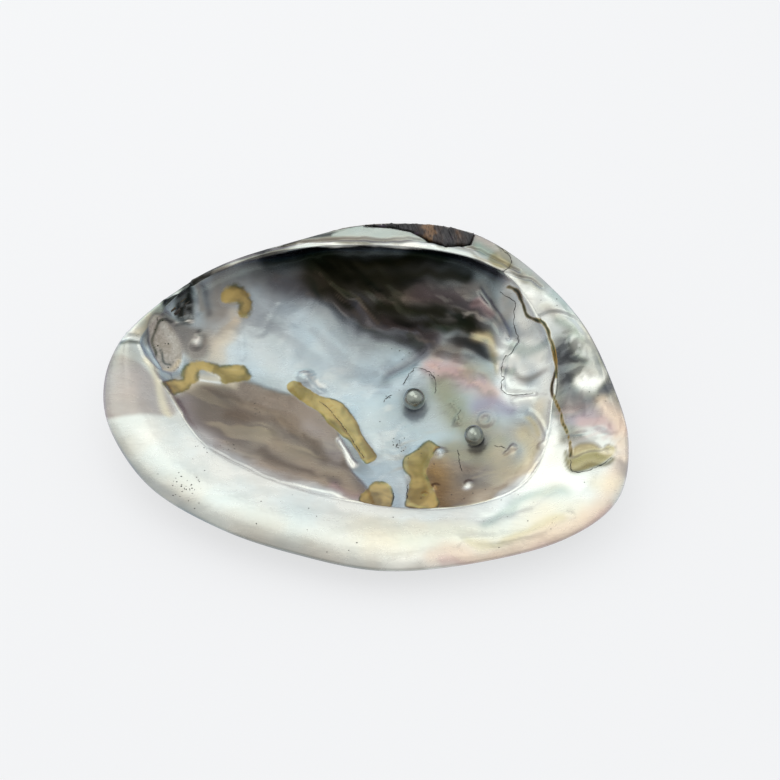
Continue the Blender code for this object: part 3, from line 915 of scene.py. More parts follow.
@dataclass
class NacreMarks:
    """Everything that is to be seen on the nacre: its sheets, scars, blisters, folds and colours, with
    painted shade, painted dark reflection and painted highlights among the colours.
    """

    left_sheet: Sequence[Point] = (
        (-68, 7), (-63, 2.5), (-58, 8), (-50, 10.5), (-41, 11.5), (-32, 9), (-24.5, 8), (-19.5, 4.4),
        (-15, 0.8), (-10.7, -4), (-8.5, -9.5), (-6, -17), (-1, -25), (2, -33.5), (-9.7, -30.5),
        (-21, -27.5), (-35, -23), (-47, -17), (-56, -10), (-62, -3),
    )
    right_sheet: Sequence[Point] = (
        (14, -33.5), (15, -25), (12.6, -17), (15, -13), (19, -9.3), (23.5, -11), (25.5, -13.5), (27, -8),
        (30, -3), (26, 2), (24, 8), (22, 15), (30, 18), (40, 14), (46, 4), (54, 4), (60, 2), (58, -14),
        (52, -24), (42, -31), (26, -35),
    )
    comma: Sequence[Point] = (
        (-49, 39.5), (-47, 41.8), (-44.5, 42.2), (-41.5, 40.5), (-40, 37.5), (-40.3, 35), (-42, 33.6),
        (-43.5, 34.8), (-43, 37), (-44.5, 37.6), (-46.5, 37.2), (-48.5, 37.5),
    )
    left_amber: Sequence[Point] = (
        (-67.3, 7.3), (-64.8, 9), (-61.5, 9.4), (-61.3, 12.8), (-60, 15.4), (-55.8, 16.8), (-50.5, 16.6),
        (-46.5, 17.3), (-42.3, 16.8), (-40.2, 14.5), (-40.2, 11.8), (-45.3, 11.2), (-49, 11), (-49.3, 13),
        (-55.2, 14.5), (-56, 11.5), (-56.4, 9.6), (-58, 8), (-59.5, 6), (-62.5, 4), (-64.3, 3.8),
    )
    leaf: Sequence[Point] = (
        (-27, 10.3), (-25, 12), (-21.3, 10.2), (-18.7, 8.6), (-15, 6.3), (-10.3, 5), (-7.8, 3.2), (-5.2, 0),
        (-3, -3.9), (-0.8, -8.6), (2.5, -12.9), (2.7, -15), (0.7, -17), (-0.6, -16), (-3.2, -11.5),
        (-6.4, -8), (-9.6, -5.5), (-13, -2), (-17, 2.2), (-21.5, 6.2), (-25.5, 8.6),
    )
    foot_amber: Sequence[Point] = (
        (-2.0, -31.5), (0.5, -27), (3.5, -24.2), (6.8, -25.3), (8.5, -28.3), (8.3, -31), (7.6, -33.3),
        (3, -33.5),
    )
    right_amber: Sequence[Point] = (
        (19.3, -9), (21.5, -9.5), (23.6, -10.8), (22, -12), (20.6, -15), (19.2, -20), (20.5, -26),
        (22, -34.5), (13.5, -34.5), (13.7, -31.5), (15, -25.5), (15.2, -22), (12.3, -18.5), (12.5, -15.3),
        (14.2, -14), (16.7, -12),
    )
    rear_amber: Sequence[Point] = (
        (64.8, -20), (64, -23.3), (66, -24.7), (70, -24), (74, -22.3), (77, -20), (78.4, -17.4),
        (76.6, -15.6), (74.6, -17), (72, -15.6), (68, -15.4), (65, -16.5),
    )
    rear_step: Sequence[Point] = (
        (47, 39.5), (49.3, 37.5), (51.3, 35), (52.5, 31.3), (55, 28.7), (58, 26), (59.5, 22), (60.7, 19),
        (61.5, 15.8), (61.8, 12.7), (61.3, 9.5), (60.3, 5.7), (60.2, 2.8), (61, -0.6), (62.2, -4),
        (62.5, -7.3), (63.5, -10.7), (64.3, -15), (64.5, -19.5),
    )
    scar: Sequence[Point] = (
        (-71.5, 22), (-70.8, 27), (-68, 29.3), (-65, 27.5), (-62.6, 23), (-61.8, 17), (-63.4, 13),
        (-66.6, 12.6), (-69.6, 16),
    )
    studs: Sequence[tuple[float, float, float]] = (
        (18.7, -29.2, 0.8), (22.3, -26.5, 1.1), (33.0, -25.5, 1.3), (47.8, -13.3, 1.3), (56.3, -14.3, 1.2),
        (30.0, -3.0, 1.2), (24.0, -13.0, 1.7), (-57.6, 22.8, 1.5), (-56.7, 25.2, 1.2),
    )
    blister: tuple[float, float, float] = (-21.5, 14.0, 2.9)
    collars: Sequence[tuple[float, float, float, float]] = (
        (16.1, 5.0, 3.0, 0.2), (36.0, -9.3, 2.6, 0.2), (39.5, -2.3, 2.0, 0.45),
    )
    ambers: Sequence[tuple[Sequence[Point], float, Side]] = (
        (comma, 0.4, BOWL), (left_amber, 0.45, BOTH), (leaf, 1.0, BOWL), (foot_amber, 0.8, BOWL),
        (right_amber, 0.8, BOWL),
    )
    relief: Sequence[Mark] = (
        Hammered([(-60, 20), (-20, 25), (0, 0), (20, 10)], 40, 13, 0.22),
        Hammered([(-50, 0), (-10, -15)], 24, 16, 0.16),
        Hammered([(25, 0), (50, 0), (40, -20)], 22, 7.5, 0.22),
        Hammered([(-8, 46), (12, 42), (32, 33), (46, 24)], 14, 6.0, 1.15, run=-0.5, stretch=3.2),
        Hammered([(-30, 48), (0, 40), (20, 30)], 12, 7.0, 0.6, run=-0.6, stretch=3.0),
        Hammered([(53, 34), (55, 18), (54, 6)], 9, 6.5, 0.55),
        Hammered([(70, 18), (71, 4), (70, -12)], 10, 8.0, 0.8, side=BAND),
        Hammered([(60, 36), (70, 24)], 12, 6.0, 0.35, side=BAND),
        Hammered([(10, -44), (46, -38), (66, -26)], 12, 10.0, 0.16, run=0.35, stretch=2.5, side=BAND),
        Hammered([(-70, -5), (-40, -34), (0, -46)], 14, 26.0, 0.07, side=BAND),
        Hammered([(-66, 36), (-60, 40)], 6, 3.2, 0.18, side=BOTH),
        Hammered([(-50, 30), (-10, 20), (20, 0), (50, -10)], 30, 3.4, 0.05),
        Hammered([(-10, 44), (20, 36), (36, 24)], 10, 3.0, 0.3, run=-0.5, stretch=3.0),
        Hammered([(46, 8), (54, 16), (52, 30)], 8, 3.2, 0.16),
        Hammered([(66, 14), (70, 0), (74, -10)], 9, 3.4, 0.22, side=BAND),
        Plate(left_sheet, 0.3, 0.45), Plate(right_sheet, 0.32, 0.45),
        Plate(leaf, 0.4, 0.3), Plate(foot_amber, -0.2, 0.3), Plate(right_amber, -0.15, 0.3),
        Plate(comma, -0.25, 0.35), Plate(left_amber, 0.25, 0.3, BOTH),
        Plate(scar, -0.45, 0.5, BOTH), Plate(rear_amber, -0.4, 0.3, BAND),
        Plate([(-66, 32), (-61, 40.5), (-58.6, 40), (-58.6, 33), (-61.5, 30)], -1.1, 0.9, BOTH),
        Plate([*rear_step[4:], (70, -18), (78, -16), (84, -4), (80, 12), (74, 22), (66, 30)],
              -0.85, 0.7, BAND),
        Ridge([(-74.5, 19), (-72.3, 15.2), (-69, 12), (-65.5, 10.6)], 0.7, 0.55, BOTH),
        Ridge([(-72.6, 21), (-71, 17), (-68.3, 13.6)], 0.6, 0.45, BOTH),
        Ridge([(-61.6, 29.2), (-60, 31), (-59.5, 34)], 0.5, 0.5, BOTH),
        Ridge([(-63.4, 28.6), (-61.4, 30.4), (-60.9, 33.6)], 0.5, 0.5, BOTH),
        Ridge([(-57.2, 38.5), (-56.8, 36), (-57.2, 33)], 1.1, 0.35),
        Ridge([(-68, 8), (-65, 4), (-62, 0), (-60, -4)], 0.8, 0.45, BOTH),
        Ridge([(-43, 33), (-43.4, 26), (-42.6, 20)], 1.2, 0.3),
        Ridge([(-31, 38), (-34, 33), (-36, 29)], 1.1, 0.35),
        Ridge([(-14.8, 5), (-9.3, -1.5), (-6, -6.5), (-1, -14.5)], 0.55, -0.7),
        Ridge([(-9.5, -9), (-6.5, -14), (-3.5, -18)], 1.1, 0.9),
        Ridge([(-20.6, 12.6), (-18.4, 10.6), (-16, 8.9)], 1.4, 0.9),
        Ridge([(38, 42.5), (40, 39), (43, 34.5), (44.8, 32), (46.3, 28), (47, 25)], 1.0, -0.8),
        Ridge([(45, 8.5), (46, 6.5), (48.8, 5.3), (52, 4.9), (55, 4.8)], 0.8, -0.7),
        Ridge([(49.8, 23.5), (47, 19.5), (46, 16), (45.3, 13), (45, 8.5)], 0.9, -0.6),
        Ridge([(21, 24), (14, 19), (6, 14.7)], 2.2, -0.5),
        Ridge([(12, 12), (15, 16.5), (17.5, 17.6), (21.8, 15.3), (23.3, 12), (23, 8), (23.8, 3.5), (25.5, 1)],
              0.6, 0.35),
        Ridge([(28, 4.5), (31, 2), (31, 0), (30, -2.5)], 0.8, 0.7),
        Ridge([(53, -1.5), (56, -4), (57.3, -10), (56.5, -13.5)], 0.9, 0.5),
        Ridge([(47.5, -13.6), (45.5, -15.5)], 0.7, 0.5),
        Ridge([(36, -39), (50, -34.5), (60.5, -29.5)], 2.4, -0.3, BAND),
        Ridge([(30, -47.5), (50, -44), (62, -38.5)], 2.6, 0.4, BAND),
        Ridge([(-30, 54.3), (-5, 56), (20, 55.6), (38, 52), (50, 44)], 0.8, -0.7, BAND),
        Ridge([(-34, 51.8), (-10, 54.6), (14, 54.2), (30, 51.8), (42, 47.5), (54, 40)], 0.6, 0.2, CREST),
        Ridge([(36, 48), (45, 43.6), (54, 40.5), (57, 38.5)], 0.8, -0.6, CREST),
        Ridge([(74.6, -18.2), (76.3, -19.6), (77.9, -18)], 0.5, 0.35, BAND),
        Ridge([(-79, 20), (-75, 21)], 0.8, -0.5, BAND), Ridge([(-78, 22), (-74.5, 22)], 0.5, 0.4, BAND),
        Ridge([(66, -12), (69.5, -12)], 0.6, -0.4, BAND),
        Ridge([(80, -21), (84, -27)], 1.2, -0.3, BAND),
    )
    bowl_colours: Sequence[Mark] = (
        Wash(Tone.ICE, [(-20, 20), (10, 5)], 200, 1.0),
        # The dark washes and streaks in the hollow under the hinge, down to the SOOT and CHARCOAL ones below,
        # are partly the nacre's own darker purple-brown and partly painted shade and painted dark reflection.
        Wash(Tone.STEEL, [(-30, 42), (-14, 36), (-2, 28)], 6, 0.5),
        Wash(Tone.GREY, [(-50, 44), (-36, 47), (-22, 46)], 5, 0.6),
        Wash(Tone.SLATE, [(-30, 46), (-18, 42), (-4, 35), (8, 28), (16, 24)], 5, 0.75),
        Wash(Tone.UMBER, [(-20, 47), (-6, 42), (8, 35), (20, 28)], 7.5, 0.95),
        Wash(Tone.UMBER, [(-14, 50), (6, 46), (22, 40), (34, 32), (38, 25)], 8.5, 0.9),
        Wash(Tone.DUSK, [(12, 45), (24, 44), (34, 41)], 4.5, 0.5),
        Wash(Tone.CHARCOAL, [(12, 30), (20, 26), (30, 22)], 3.0, 0.6),
        Wash(Tone.MULBERRY, [(18, 44), (30, 40), (38, 33)], 4.0, 0.55),
        Wash(Tone.MULBERRY, [(4, 40), (14, 34), (24, 27)], 3.0, 0.45),
        Wash(Tone.ROSE, [(37, 36.5), (40, 34.5), (42, 32)], 1.8, 0.6),
        Wash(Tone.GREY, [(34, 43), (41, 40), (44, 34)], 3.2, 0.75),
        # Painted shade: near-black under the overhanging hinge shelf, where its shadow falls.
        Wash(Tone.SOOT, [(-42, 53), (-20, 54), (10, 54.5), (36, 52), (48, 44)], 5.5, 1.0),
        Wash(Tone.SOOT, [(-20, 51), (0, 50.5), (20, 49.5), (34, 46)], 4.2, 0.95),
        Streaks(Tone.SOOT, [(-16, 48), (6, 43), (26, 35), (38, 26)], 9, 3.2, -0.5, 4.5, 0.75),
        Streaks(Tone.TAUPE, [(-6, 43), (10, 38), (26, 30)], 8, 2.6, -0.5, 5.0, 0.3),
        Streaks(Tone.SLATE, [(-4, 38), (10, 30), (22, 24)], 7, 2.2, -0.6, 4.0, 0.5),
        Streaks(Tone.ASH, [(26, 38), (36, 32), (40, 24)], 7, 2.2, -0.6, 3.0, 0.4),
        Streaks(Tone.DUSK, [(-26, 47), (-10, 44)], 5, 2.4, -0.3, 4.0, 0.5),
        Wash(Tone.SOOT, [(4, 41.5), (14, 39), (24, 36)], 3.4, 0.92),
        Wash(Tone.SOOT, [(20, 33), (28, 30.5), (36, 29)], 2.6, 0.85),
        Wash(Tone.CHARCOAL, [(-4, 34), (6, 29), (16, 25)], 2.6, 0.6),
        Wash(Tone.DUSK, [(24, 22), (31, 24), (30, 19)], 3.6, 0.55),
        Wash(Tone.CHARCOAL, [(30, 26), (36, 22.5), (40, 18.5)], 2.6, 0.85),
        Wash(Tone.STRAW, [(38, 25), (42, 24), (44, 20)], 2.0, 0.8),
        Wash(Tone.OLIVE, [(43, 19), (43.5, 14)], 1.6, 0.85),
        Wash(Tone.CREAM, [(44.5, 17.5), (44.2, 15)], 0.8, 0.8),
        Wash(Tone.ASH, [(-54, 19), (-51, 26), (-47, 32), (-48, 38)], 6.5, 0.8),
        Wash(Tone.CREAM, [(-50, 20), (-48, 25), (-46, 30)], 4.0, 0.45),
        Wash(Tone.CREAM, [(-46, 35.5), (-44.5, 33)], 2.4, 0.7),
        Wash(Tone.ASH, [(-52, 40), (-50, 36), (-54, 34)], 3.2, 0.7),
        Wash(Tone.ICE_WHITE, [(-42, 21), (-40, 27), (-36, 18), (-28, 14)], 5.5, 0.65),
        Streaks(Tone.ICE_WHITE, [(-44, 24), (-34, 30), (-24, 22)], 12, 4.0, 1.1, 3.0, 0.5),
        Streaks(Tone.STEEL, [(-38, 34), (-24, 30), (-6, 22), (6, 12)], 9, 3.6, -0.6, 3.5, 0.35),
        Streaks(Tone.PORCELAIN, [(-14, 12), (2, 4), (8, -10), (10, -24)], 8, 2.8, 0.3, 2.0, 0.45),
        Wash(Tone.ICE_WHITE, [(-12, 12), (-2, 6), (4, -6), (9, -24)], 6, 0.65),
        Wash(Tone.SLATE, [(20, 23), (14, 18.5), (6, 13.5)], 2.4, 0.65),
        Wash(Tone.ICE_WHITE, [(17, 14), (19, 10), (10, 10)], 3.4, 0.6),
        Wash(Tone.MOSS, [(25, 10), (28, 3), (32, -3), (38, -6)], 6.0, 0.85),
        Wash(Tone.ROSE, [(22, 17), (30, 14), (36, 9), (42, 6)], 4.4, 0.8),
        Streaks(Tone.PEACH, [(24, 16), (34, 11), (42, 5)], 4.4, 1.8, -0.5, 3.0, 0.35),
        Streaks(Tone.GREY, [(22, 19), (32, 14), (40, 8)], 5.0, 2.2, -0.6, 2.5, 0.4),
        Wash(Tone.MOSS, [(34, 15), (40, 12)], 3.0, 0.45),
        Wash(Tone.VIOLET, [(37, 2), (43, 3), (48, 1)], 3.4, 0.75),
        Wash(Tone.ASH, [(38, -4), (44, -8), (50, -8)], 5.0, 0.7),
        Wash(Tone.PEARL_WHITE, [(50, 41), (55, 36), (59, 28)], 4.4, 0.95, BOTH),
        Wash(Tone.PEARL_WHITE, [(52, 33), (54, 28)], 2.4, 0.8),
        Wash(Tone.ASH, [(48, 37), (49, 33), (46, 30)], 2.6, 0.7),
        Wash(Tone.STEEL, [(47, 28), (50, 26), (55, 21)], 2.4, 0.75),
        # Bright white on the low rear blister: partly its own white nacre and partly painted highlight.
        Wash(Tone.PEARL_WHITE, [(47.5, 8), (49, 20), (53, 22), (60, 16), (59, 6), (50, 7)], 5.0, 1.0),
        Wash(Tone.PEARL_WHITE, [(49, 20), (53, 17.5), (51, 9)], 2.6, 0.9),
        Wash(Tone.SEA_GREEN, [(50, 23), (55, 20), (60, 20)], 2.0, 0.6),
        Wash(Tone.GREY, [(46.5, 14.8), (50, 14.5), (55, 12.4), (59, 12)], 1.7, 0.7),
        Streaks(Tone.SEA_GREEN, [(48, 20), (54, 14), (58, 8)], 7, 2.6, 0.3, 2.5, 0.35),
        Wash(Tone.PEARL_WHITE, [(61, 14), (60, 4), (61, -2), (60, -10), (56, -19), (48, -26.5), (38, -31)],
             3.0, 0.9),
        Wash(Tone.CREAM, [(57, 0), (57, -8), (52, -19), (44, -26), (34, -30.5)], 3.4, 0.7),
        Patch(Tone.TAUPE, left_sheet, 1.2, 0.95),
        Streaks(Tone.DUSK, [(-56, 2), (-34, -4), (-10, -18)], 12, 3.4, -0.35, 6.0, 0.5),
        Streaks(Tone.SAND, [(-54, -2), (-34, -12), (-12, -22)], 10, 2.6, -0.35, 6.0, 0.55),
        Wash(Tone.SAND, [(-36, -11), (-28, -13), (-20, -17)], 4.2, 0.6),
        Wash(Tone.DUSK, [(-47, -1), (-38, -2.5), (-29, -4), (-22, -8), (-14, -15)], 2.6, 0.65),
        Wash(Tone.DUSK, [(-52, 5), (-44, 1)], 4.0, 0.4),
        Wash(Tone.DUSK, [(-34, -16), (-24, -20), (-14, -22), (-8, -22)], 1.8, 0.6),
        Wash(Tone.LILAC, [(-58, 2), (-56, -5), (-48, -12)], 3.0, 0.5),
        Wash(Tone.LILAC, [(-20, -3), (-14, -8), (-10, -14)], 3.4, 0.4),
        Wash(Tone.SAND, [(-46, -14), (-30, -21), (-14, -26)], 3.0, 0.55),
        Wash(Tone.DUSK, [(-21.6, -7)], 1.0, 0.8),
        Wash(Tone.ROSE, [(-10, -27), (-2, -30)], 2.4, 0.45),
        Wash(Tone.PORCELAIN, [(-62, -2), (-52, -11.5), (-43, -17.5), (-34, -22), (-24, -26.5), (-8, -31)],
             2.8, 0.9),
        Wash(Tone.SAND, [(-16, -20), (-7, -22), (-3, -28)], 3.0, 0.6),
        Wash(Tone.CREAM, [(-61, 5), (-54, 10), (-46, 11)], 2.6, 0.7),
        Wash(Tone.PORCELAIN, [(-6, -33), (4, -34.4), (14, -35.4)], 1.3, 0.9, BOTH),
        Patch(Tone.TAUPE, [(14, -34), (14, -20), (20, -12), (30, -10), (44, -14), (50, -24), (40, -32),
                                 (26, -35.5)], 3.4, 0.9),
        Streaks(Tone.SAND, [(18, -16), (32, -24), (46, -24)], 10, 2.6, 0.25, 4.0, 0.5),
        Wash(Tone.DUSK, [(20, -21), (27, -20), (34, -17)], 2.0, 0.6),
        Wash(Tone.TAN, [(24, -15), (26, -24), (34, -29)], 4.6, 0.8),
        Wash(Tone.CARAMEL, [(21.5, -19), (23.5, -26), (26, -32)], 4.4, 0.85),
        Wash(Tone.TAUPE, [(30, -20), (40, -18), (48, -14)], 3.6, 0.5),
        # Painted shadow round where each pearl sits, together with the darker nacre of its collar.
        Wash(Tone.SLATE, [(16.1, 5.2)], 4.9, 0.8), Wash(Tone.SLATE, [(36, -9.1)], 4.4, 0.8),
        Wash(Tone.MOSS, [(28, -12), (34, -14), (44, -10)], 3.4, 0.45),
        Wash(Tone.SAND, [(42, -14), (45, -20), (40, -27)], 5.0, 0.75),
        Wash(Tone.STRAW, [(52, -8), (54, -14), (50, -20)], 3.4, 0.6),
        Wash(Tone.CREAM, [(52, -20), (46, -26), (36, -30)], 3.2, 0.6),
        Wash(Tone.ICE_WHITE, [(11.2, -23), (11, -29), (11, -34)], 1.9, 0.9),
        Wash(Tone.PEARL_WHITE, [(-9.2, -9), (-7, -13), (-3.5, -18)], 1.0, 0.95),
        # Painted highlight on the lit side of the blister and the ridge below it.
        Wash(Tone.PEARL_WHITE, [(-22.6, 14.6), (-20.4, 12.4), (-17.6, 9.8)], 0.9, 0.8),
        Wash(Tone.PEARL_WHITE, [(-56, 10), (-52, 9.8), (-50, 9.4)], 0.6, 0.9),
        Wash(Tone.ICE_WHITE, [(24, -13)], 1.9, 1.0),
        Wash(Tone.CREAM, [(22.3, -26.5)], 1.1, 0.9), Wash(Tone.PEARL_WHITE, [(32.7, -25)], 1.2, 0.9),
        Wash(Tone.CREAM, [(46.6, -13)], 1.3, 0.8), Wash(Tone.STRAW, [(53, -3), (56.6, -9)], 1.0, 0.7),
    )
    band_colours: Sequence[Mark] = (
        # Partly the nacre's own grey and partly painted shade: the band greys towards the rim, where it turns
        # down.
        Wash(Tone.ASH, [(-80, -14), (-68, -30), (-44, -43), (-20, -51), (2, -55)], 7.0, 0.62),
        Wash(Tone.STEEL, [(-80, -16), (-66, -31), (-44, -44.5), (-20, -52.5), (4, -57)], 2.2, 0.45),
        Wash(Tone.PEARL_WHITE, [(-66, -10), (-52, -20), (-34, -28.5), (-14, -34)], 6.0, 0.8),
        Wash(Tone.CREAM, [(2, -42), (26, -44), (46, -46), (62, -38)], 8, 0.6),
        Wash(Tone.PEACH, [(22, -53), (44, -50), (62, -43), (76, -32), (80, -20)], 4.5, 0.7),
        Wash(Tone.ROSE, [(24, -55), (46, -51.6), (64, -44), (77, -35)], 1.8, 0.5),
        Wash(Tone.STRAW, [(32, -47), (48, -44.5), (60, -39)], 1.6, 0.5),
        # Painted highlight: a bright ivory strip along the band just outside the crest.
        Wash(Tone.PEARL_WHITE, [(-58, -10), (-47, -19.5), (-30, -27), (-8, -32.5), (14, -36), (34, -35.5),
                                      (46, -30), (56, -21), (60, -10)], 2.6, 0.9, BOTH),
        Wash(Tone.PEARL_WHITE, [(50, -30), (58, -24), (63, -26), (66, -28)], 5.0, 0.8),
        # More painted shade, with the nacre's own grey, along the lower rim where it turns down.
        Wash(Tone.ASH, [(-40, -47), (-20, -53), (0, -56.5), (16, -56)], 3.0, 0.6),
        Wash(Tone.SEA_GREEN, [(36, -39), (50, -34.8), (60.5, -29.5)], 1.9, 0.45),
        Patch(Tone.LILAC, [(-90, -7), (-80, -7), (-71, -5.6), (-62, -4.5), (-64, 2), (-70, 9), (-76, 14),
                                 (-90, 12)], 1.0, 0.9, BOTH),
        Wash(Tone.CREAM, [(-73, 14), (-69, 8.5), (-64.5, 2), (-62, -2)], 1.7, 0.85, BOTH),
        Wash(Tone.ASH, [(-84, 12), (-80, 16), (-77, 15)], 4.0, 0.6),
        Wash(Tone.CHARCOAL, [(-79.5, 19.5), (-75.5, 20.8)], 1.0, 0.8),
        Wash(Tone.PEARL_WHITE, [(-79, 21.8), (-75, 21.6)], 0.6, 0.9),
        Wash(Tone.SEA_GREEN, [(-74, 27), (-68, 33), (-62, 38.5)], 3.0, 0.75),
        Wash(Tone.CREAM, [(-76, 24), (-72.5, 28.5)], 1.6, 0.75),
        Wash(Tone.SLATE, [(-66, 36.5), (-60, 41), (-50, 46.5), (-40, 50.5)], 1.8, 0.75),
        Patch(Tone.GREY, [(-73, 20), (-71, 28), (-67, 31), (-61, 29), (-55, 27), (-54, 20), (-58, 17),
                                (-62, 20)], 1.2, 0.75, BOTH),
        Patch(Tone.SOOT, [(-63, 30.5), (-62.4, 36), (-62, 39.8), (-58.6, 41.5), (-58.4, 34),
                                (-58.8, 29.6), (-61.5, 29.2)], 0.8, 0.95, BOTH),
        Streaks(Tone.ICE_WHITE, [(-63, 32), (-60, 38)], 4, 1.5, 1.1, 3.0, 0.22, BOTH),
        Wash(Tone.ASH, [(-57.6, 41), (-57, 36)], 1.4, 0.8, BOTH),
        Wash(Tone.SLATE, [(-55.5, 41), (-54.6, 34)], 1.4, 0.6, BOTH),
        Patch(Tone.CHALK, scar, 0.5, 0.95, BOTH),
        Wash(Tone.PORCELAIN, [(-68, 27), (-65.5, 24), (-63.5, 19)], 1.6, 0.7, BOTH),
        Wash(Tone.CHARCOAL, [(-70.6, 17), (-71, 23), (-69, 28.4), (-65.5, 28.6)], 0.55, 0.8, BOTH),
        Wash(Tone.SLATE, [(-69.2, 19), (-67.4, 15.6), (-64.6, 14.4)], 0.5, 0.8, BOTH),
        Wash(Tone.CREAM, [(-66.5, 12), (-63.5, 12), (-62.5, 15)], 0.9, 0.8, BOTH),
        Wash(Tone.PEARL_WHITE, [(-62, 29.5), (-60, 29.6)], 0.5, 0.9, BOTH),
        Wash(Tone.PEARL_WHITE, [(-57, 23.6)], 1.7, 0.85, BOTH),
        Wash(Tone.SOOT, [(-57, 27.4)], 1.0, 0.7, BOTH),
        Wash(Tone.ASH, [(-56, 43), (-40, 50), (-28, 53.6), (-10, 58), (20, 58), (40, 54)], 4.0, 0.8),
        Wash(Tone.TAUPE, [(-40, 50.6), (-24, 54.6), (-4, 56.8), (20, 55.8)], 1.6, 0.6),
        Wash(Tone.CHARCOAL, [(-68, 33.2), (-60, 39.8), (-49, 46.6), (-36, 51.6), (-22.5, 55.9), (-8, 59.9),
                                   (-1, 61.4)], 1.6, 0.95),
        Streaks(Tone.SOOT, [(-58, 41.5), (-49, 46.5), (-40, 50.4)], 2.2, 1.4, 0.55, 2.0, 0.9),
        # Painted shade in the groove behind the crest.
        Wash(Tone.GREY, [(-30, 54.2), (-10, 56.2), (12, 56.2), (26, 54), (40, 50.4), (52, 42.6)],
             1.1, 0.85),
        Wash(Tone.GREY, [(-60, 38), (-50, 44.4), (-40, 49), (-28, 52.2)], 1.6, 0.85, CREST),
        # Painted highlight along the top of the crest.
        Wash(Tone.PEARL_WHITE, [(-24, 53), (-8, 54.3), (12, 53.9), (26, 52.2)], 0.9, 0.95, CREST),
        # Painted shadow just below the ligament pad's edge.
        Wash(Tone.SOOT, [(20, 55.2), (26, 53), (34, 53.8), (36.5, 57)], 0.9, 0.9),
        Wash(Tone.ASH, [(28, 52), (42, 46.8), (54, 40)], 0.9, 0.8, CREST),
        Patch(Tone.SHELF, [(-12, 57), (-4, 60.6), (10, 60.6), (20, 55), (8, 56.6)], 0.6, 0.9),
        Wash(Tone.LILAC, [(36, 58), (41, 54.5)], 2.6, 0.75),
        Wash(Tone.GREY, [(36, 53.2), (44, 49), (52, 43), (58, 38)], 2.0, 0.75),
        Wash(Tone.SEA_GREEN, [(38, 53), (42, 49)], 2.0, 0.7),
        Patch(Tone.OLIVE, [(40.5, 50), (46, 54), (48.5, 49.5), (47, 45), (42, 46)], 0.9, 0.75),
        Wash(Tone.STRAW, [(44, 49.5), (46, 46.5)], 0.9, 0.6),
        Wash(Tone.CHARCOAL, [(43.5, 54), (45, 51.5)], 0.5, 0.7),
        Wash(Tone.CHARCOAL, [(46, 53.2), (47.8, 50.6)], 0.5, 0.7),
        Wash(Tone.ICE_WHITE, [(62, 38), (68, 30), (72, 22)], 5.0, 0.6),
        Wash(Tone.ASH, [(44, 52), (54, 45), (60, 40)], 3.4, 0.6),
        Streaks(Tone.SEA_GREEN, [(58, 40), (66, 28), (72, 16)], 8, 2.6, -0.9, 2.5, 0.45),
        Wash(Tone.ASH, [(58, 31), (62, 27), (66, 22)], 2.2, 0.6),
        Wash(Tone.SEA_GREEN, [(62, 26), (67, 22), (70, 20)], 1.8, 0.5),
        Wash(Tone.SAND, [(71, 29), (74, 22), (77, 15)], 2.8, 0.6),
        # The grey, slate and charcoal washes and streaks on the rear band are partly the nacre's own dark
        # tones and partly painted dark reflection in its hammered folds.
        Wash(Tone.GREY, [(62, 16), (66, 10), (64, 4), (66, -4), (66, -12)], 5.0, 0.85),
        Wash(Tone.ASH, [(72, 18), (74, 12), (72, 8)], 3.6, 0.6),
        Wash(Tone.CHARCOAL, [(62.6, 14.8), (66, 14), (69, 12)], 2.4, 0.85),
        Wash(Tone.GREY, [(62.4, 16), (62.6, 8), (61.8, 0), (63, -6)], 2.0, 0.85),
        Wash(Tone.CHARCOAL, [(64, -1), (69, -1.8), (74, 0), (77.5, 3)], 3.0, 0.9),
        Wash(Tone.GREY, [(76, 14), (79.5, 6), (81.5, -3)], 3.0, 0.85),
        Wash(Tone.SLATE, [(62.8, 18), (63, 8), (66, 3), (72, -2)], 3.2, 0.75),
        # Painted highlight: a bright gloss squiggle on the rear band.
        Wash(Tone.PEARL_WHITE, [(69, 6.5), (71.5, 4.5), (74, 5.6)], 1.6, 0.95),
        Wash(Tone.PEARL_WHITE, [(60.5, -6), (61.8, -13)], 1.8, 0.8),
        Wash(Tone.LILAC, [(66, -3), (71, -5), (80, -5)], 4.0, 0.75),
        Streaks(Tone.CHARCOAL, [(64, 16), (68, 4), (76, 4)], 7, 2.4, 0.5, 2.2, 0.65),
        Streaks(Tone.ROSE, [(66, -6), (74, -8), (80, -12)], 6, 2.2, 0.3, 2.5, 0.45),
        Wash(Tone.SLATE, [(80, 14), (79.5, 7), (77, 2)], 2.4, 0.75),
        # Painted highlight: the same gloss squiggle, laid again.
        Wash(Tone.PEARL_WHITE, [(68, 6), (71, 3.6), (74, 5)], 1.7, 0.95),
        Wash(Tone.VIOLET, [(66, -5), (72, -4)], 2.6, 0.5),
        Wash(Tone.ROSE, [(70, -6), (76, -7), (80, -11)], 3.2, 0.7),
        Wash(Tone.PEACH, [(76, -1), (81, -8), (80, -15)], 2.6, 0.7),
        Wash(Tone.SLATE, [(66, -12), (69.5, -12)], 0.8, 0.8),
        Wash(Tone.LILAC, [(79, -22), (84, -25)], 2.0, 0.75),
        Patch(Tone.HONEY, rear_amber, 0.6, 0.9),
        Wash(Tone.OLIVE, [(66, -21), (70, -21), (73, -19)], 2.0, 0.8),
        Wash(Tone.CREAM, [(74, -17.4), (76.4, -17.4)], 1.0, 0.8),
        Wash(Tone.BRONZE, [(65, -19), (65, -22.6), (66.4, -24), (70, -23.6), (74, -22), (76.6, -20)],
             1.0, 0.75),
        Wash(Tone.CREAM, [(72, -28), (79, -28)], 3.0, 0.5),
    )

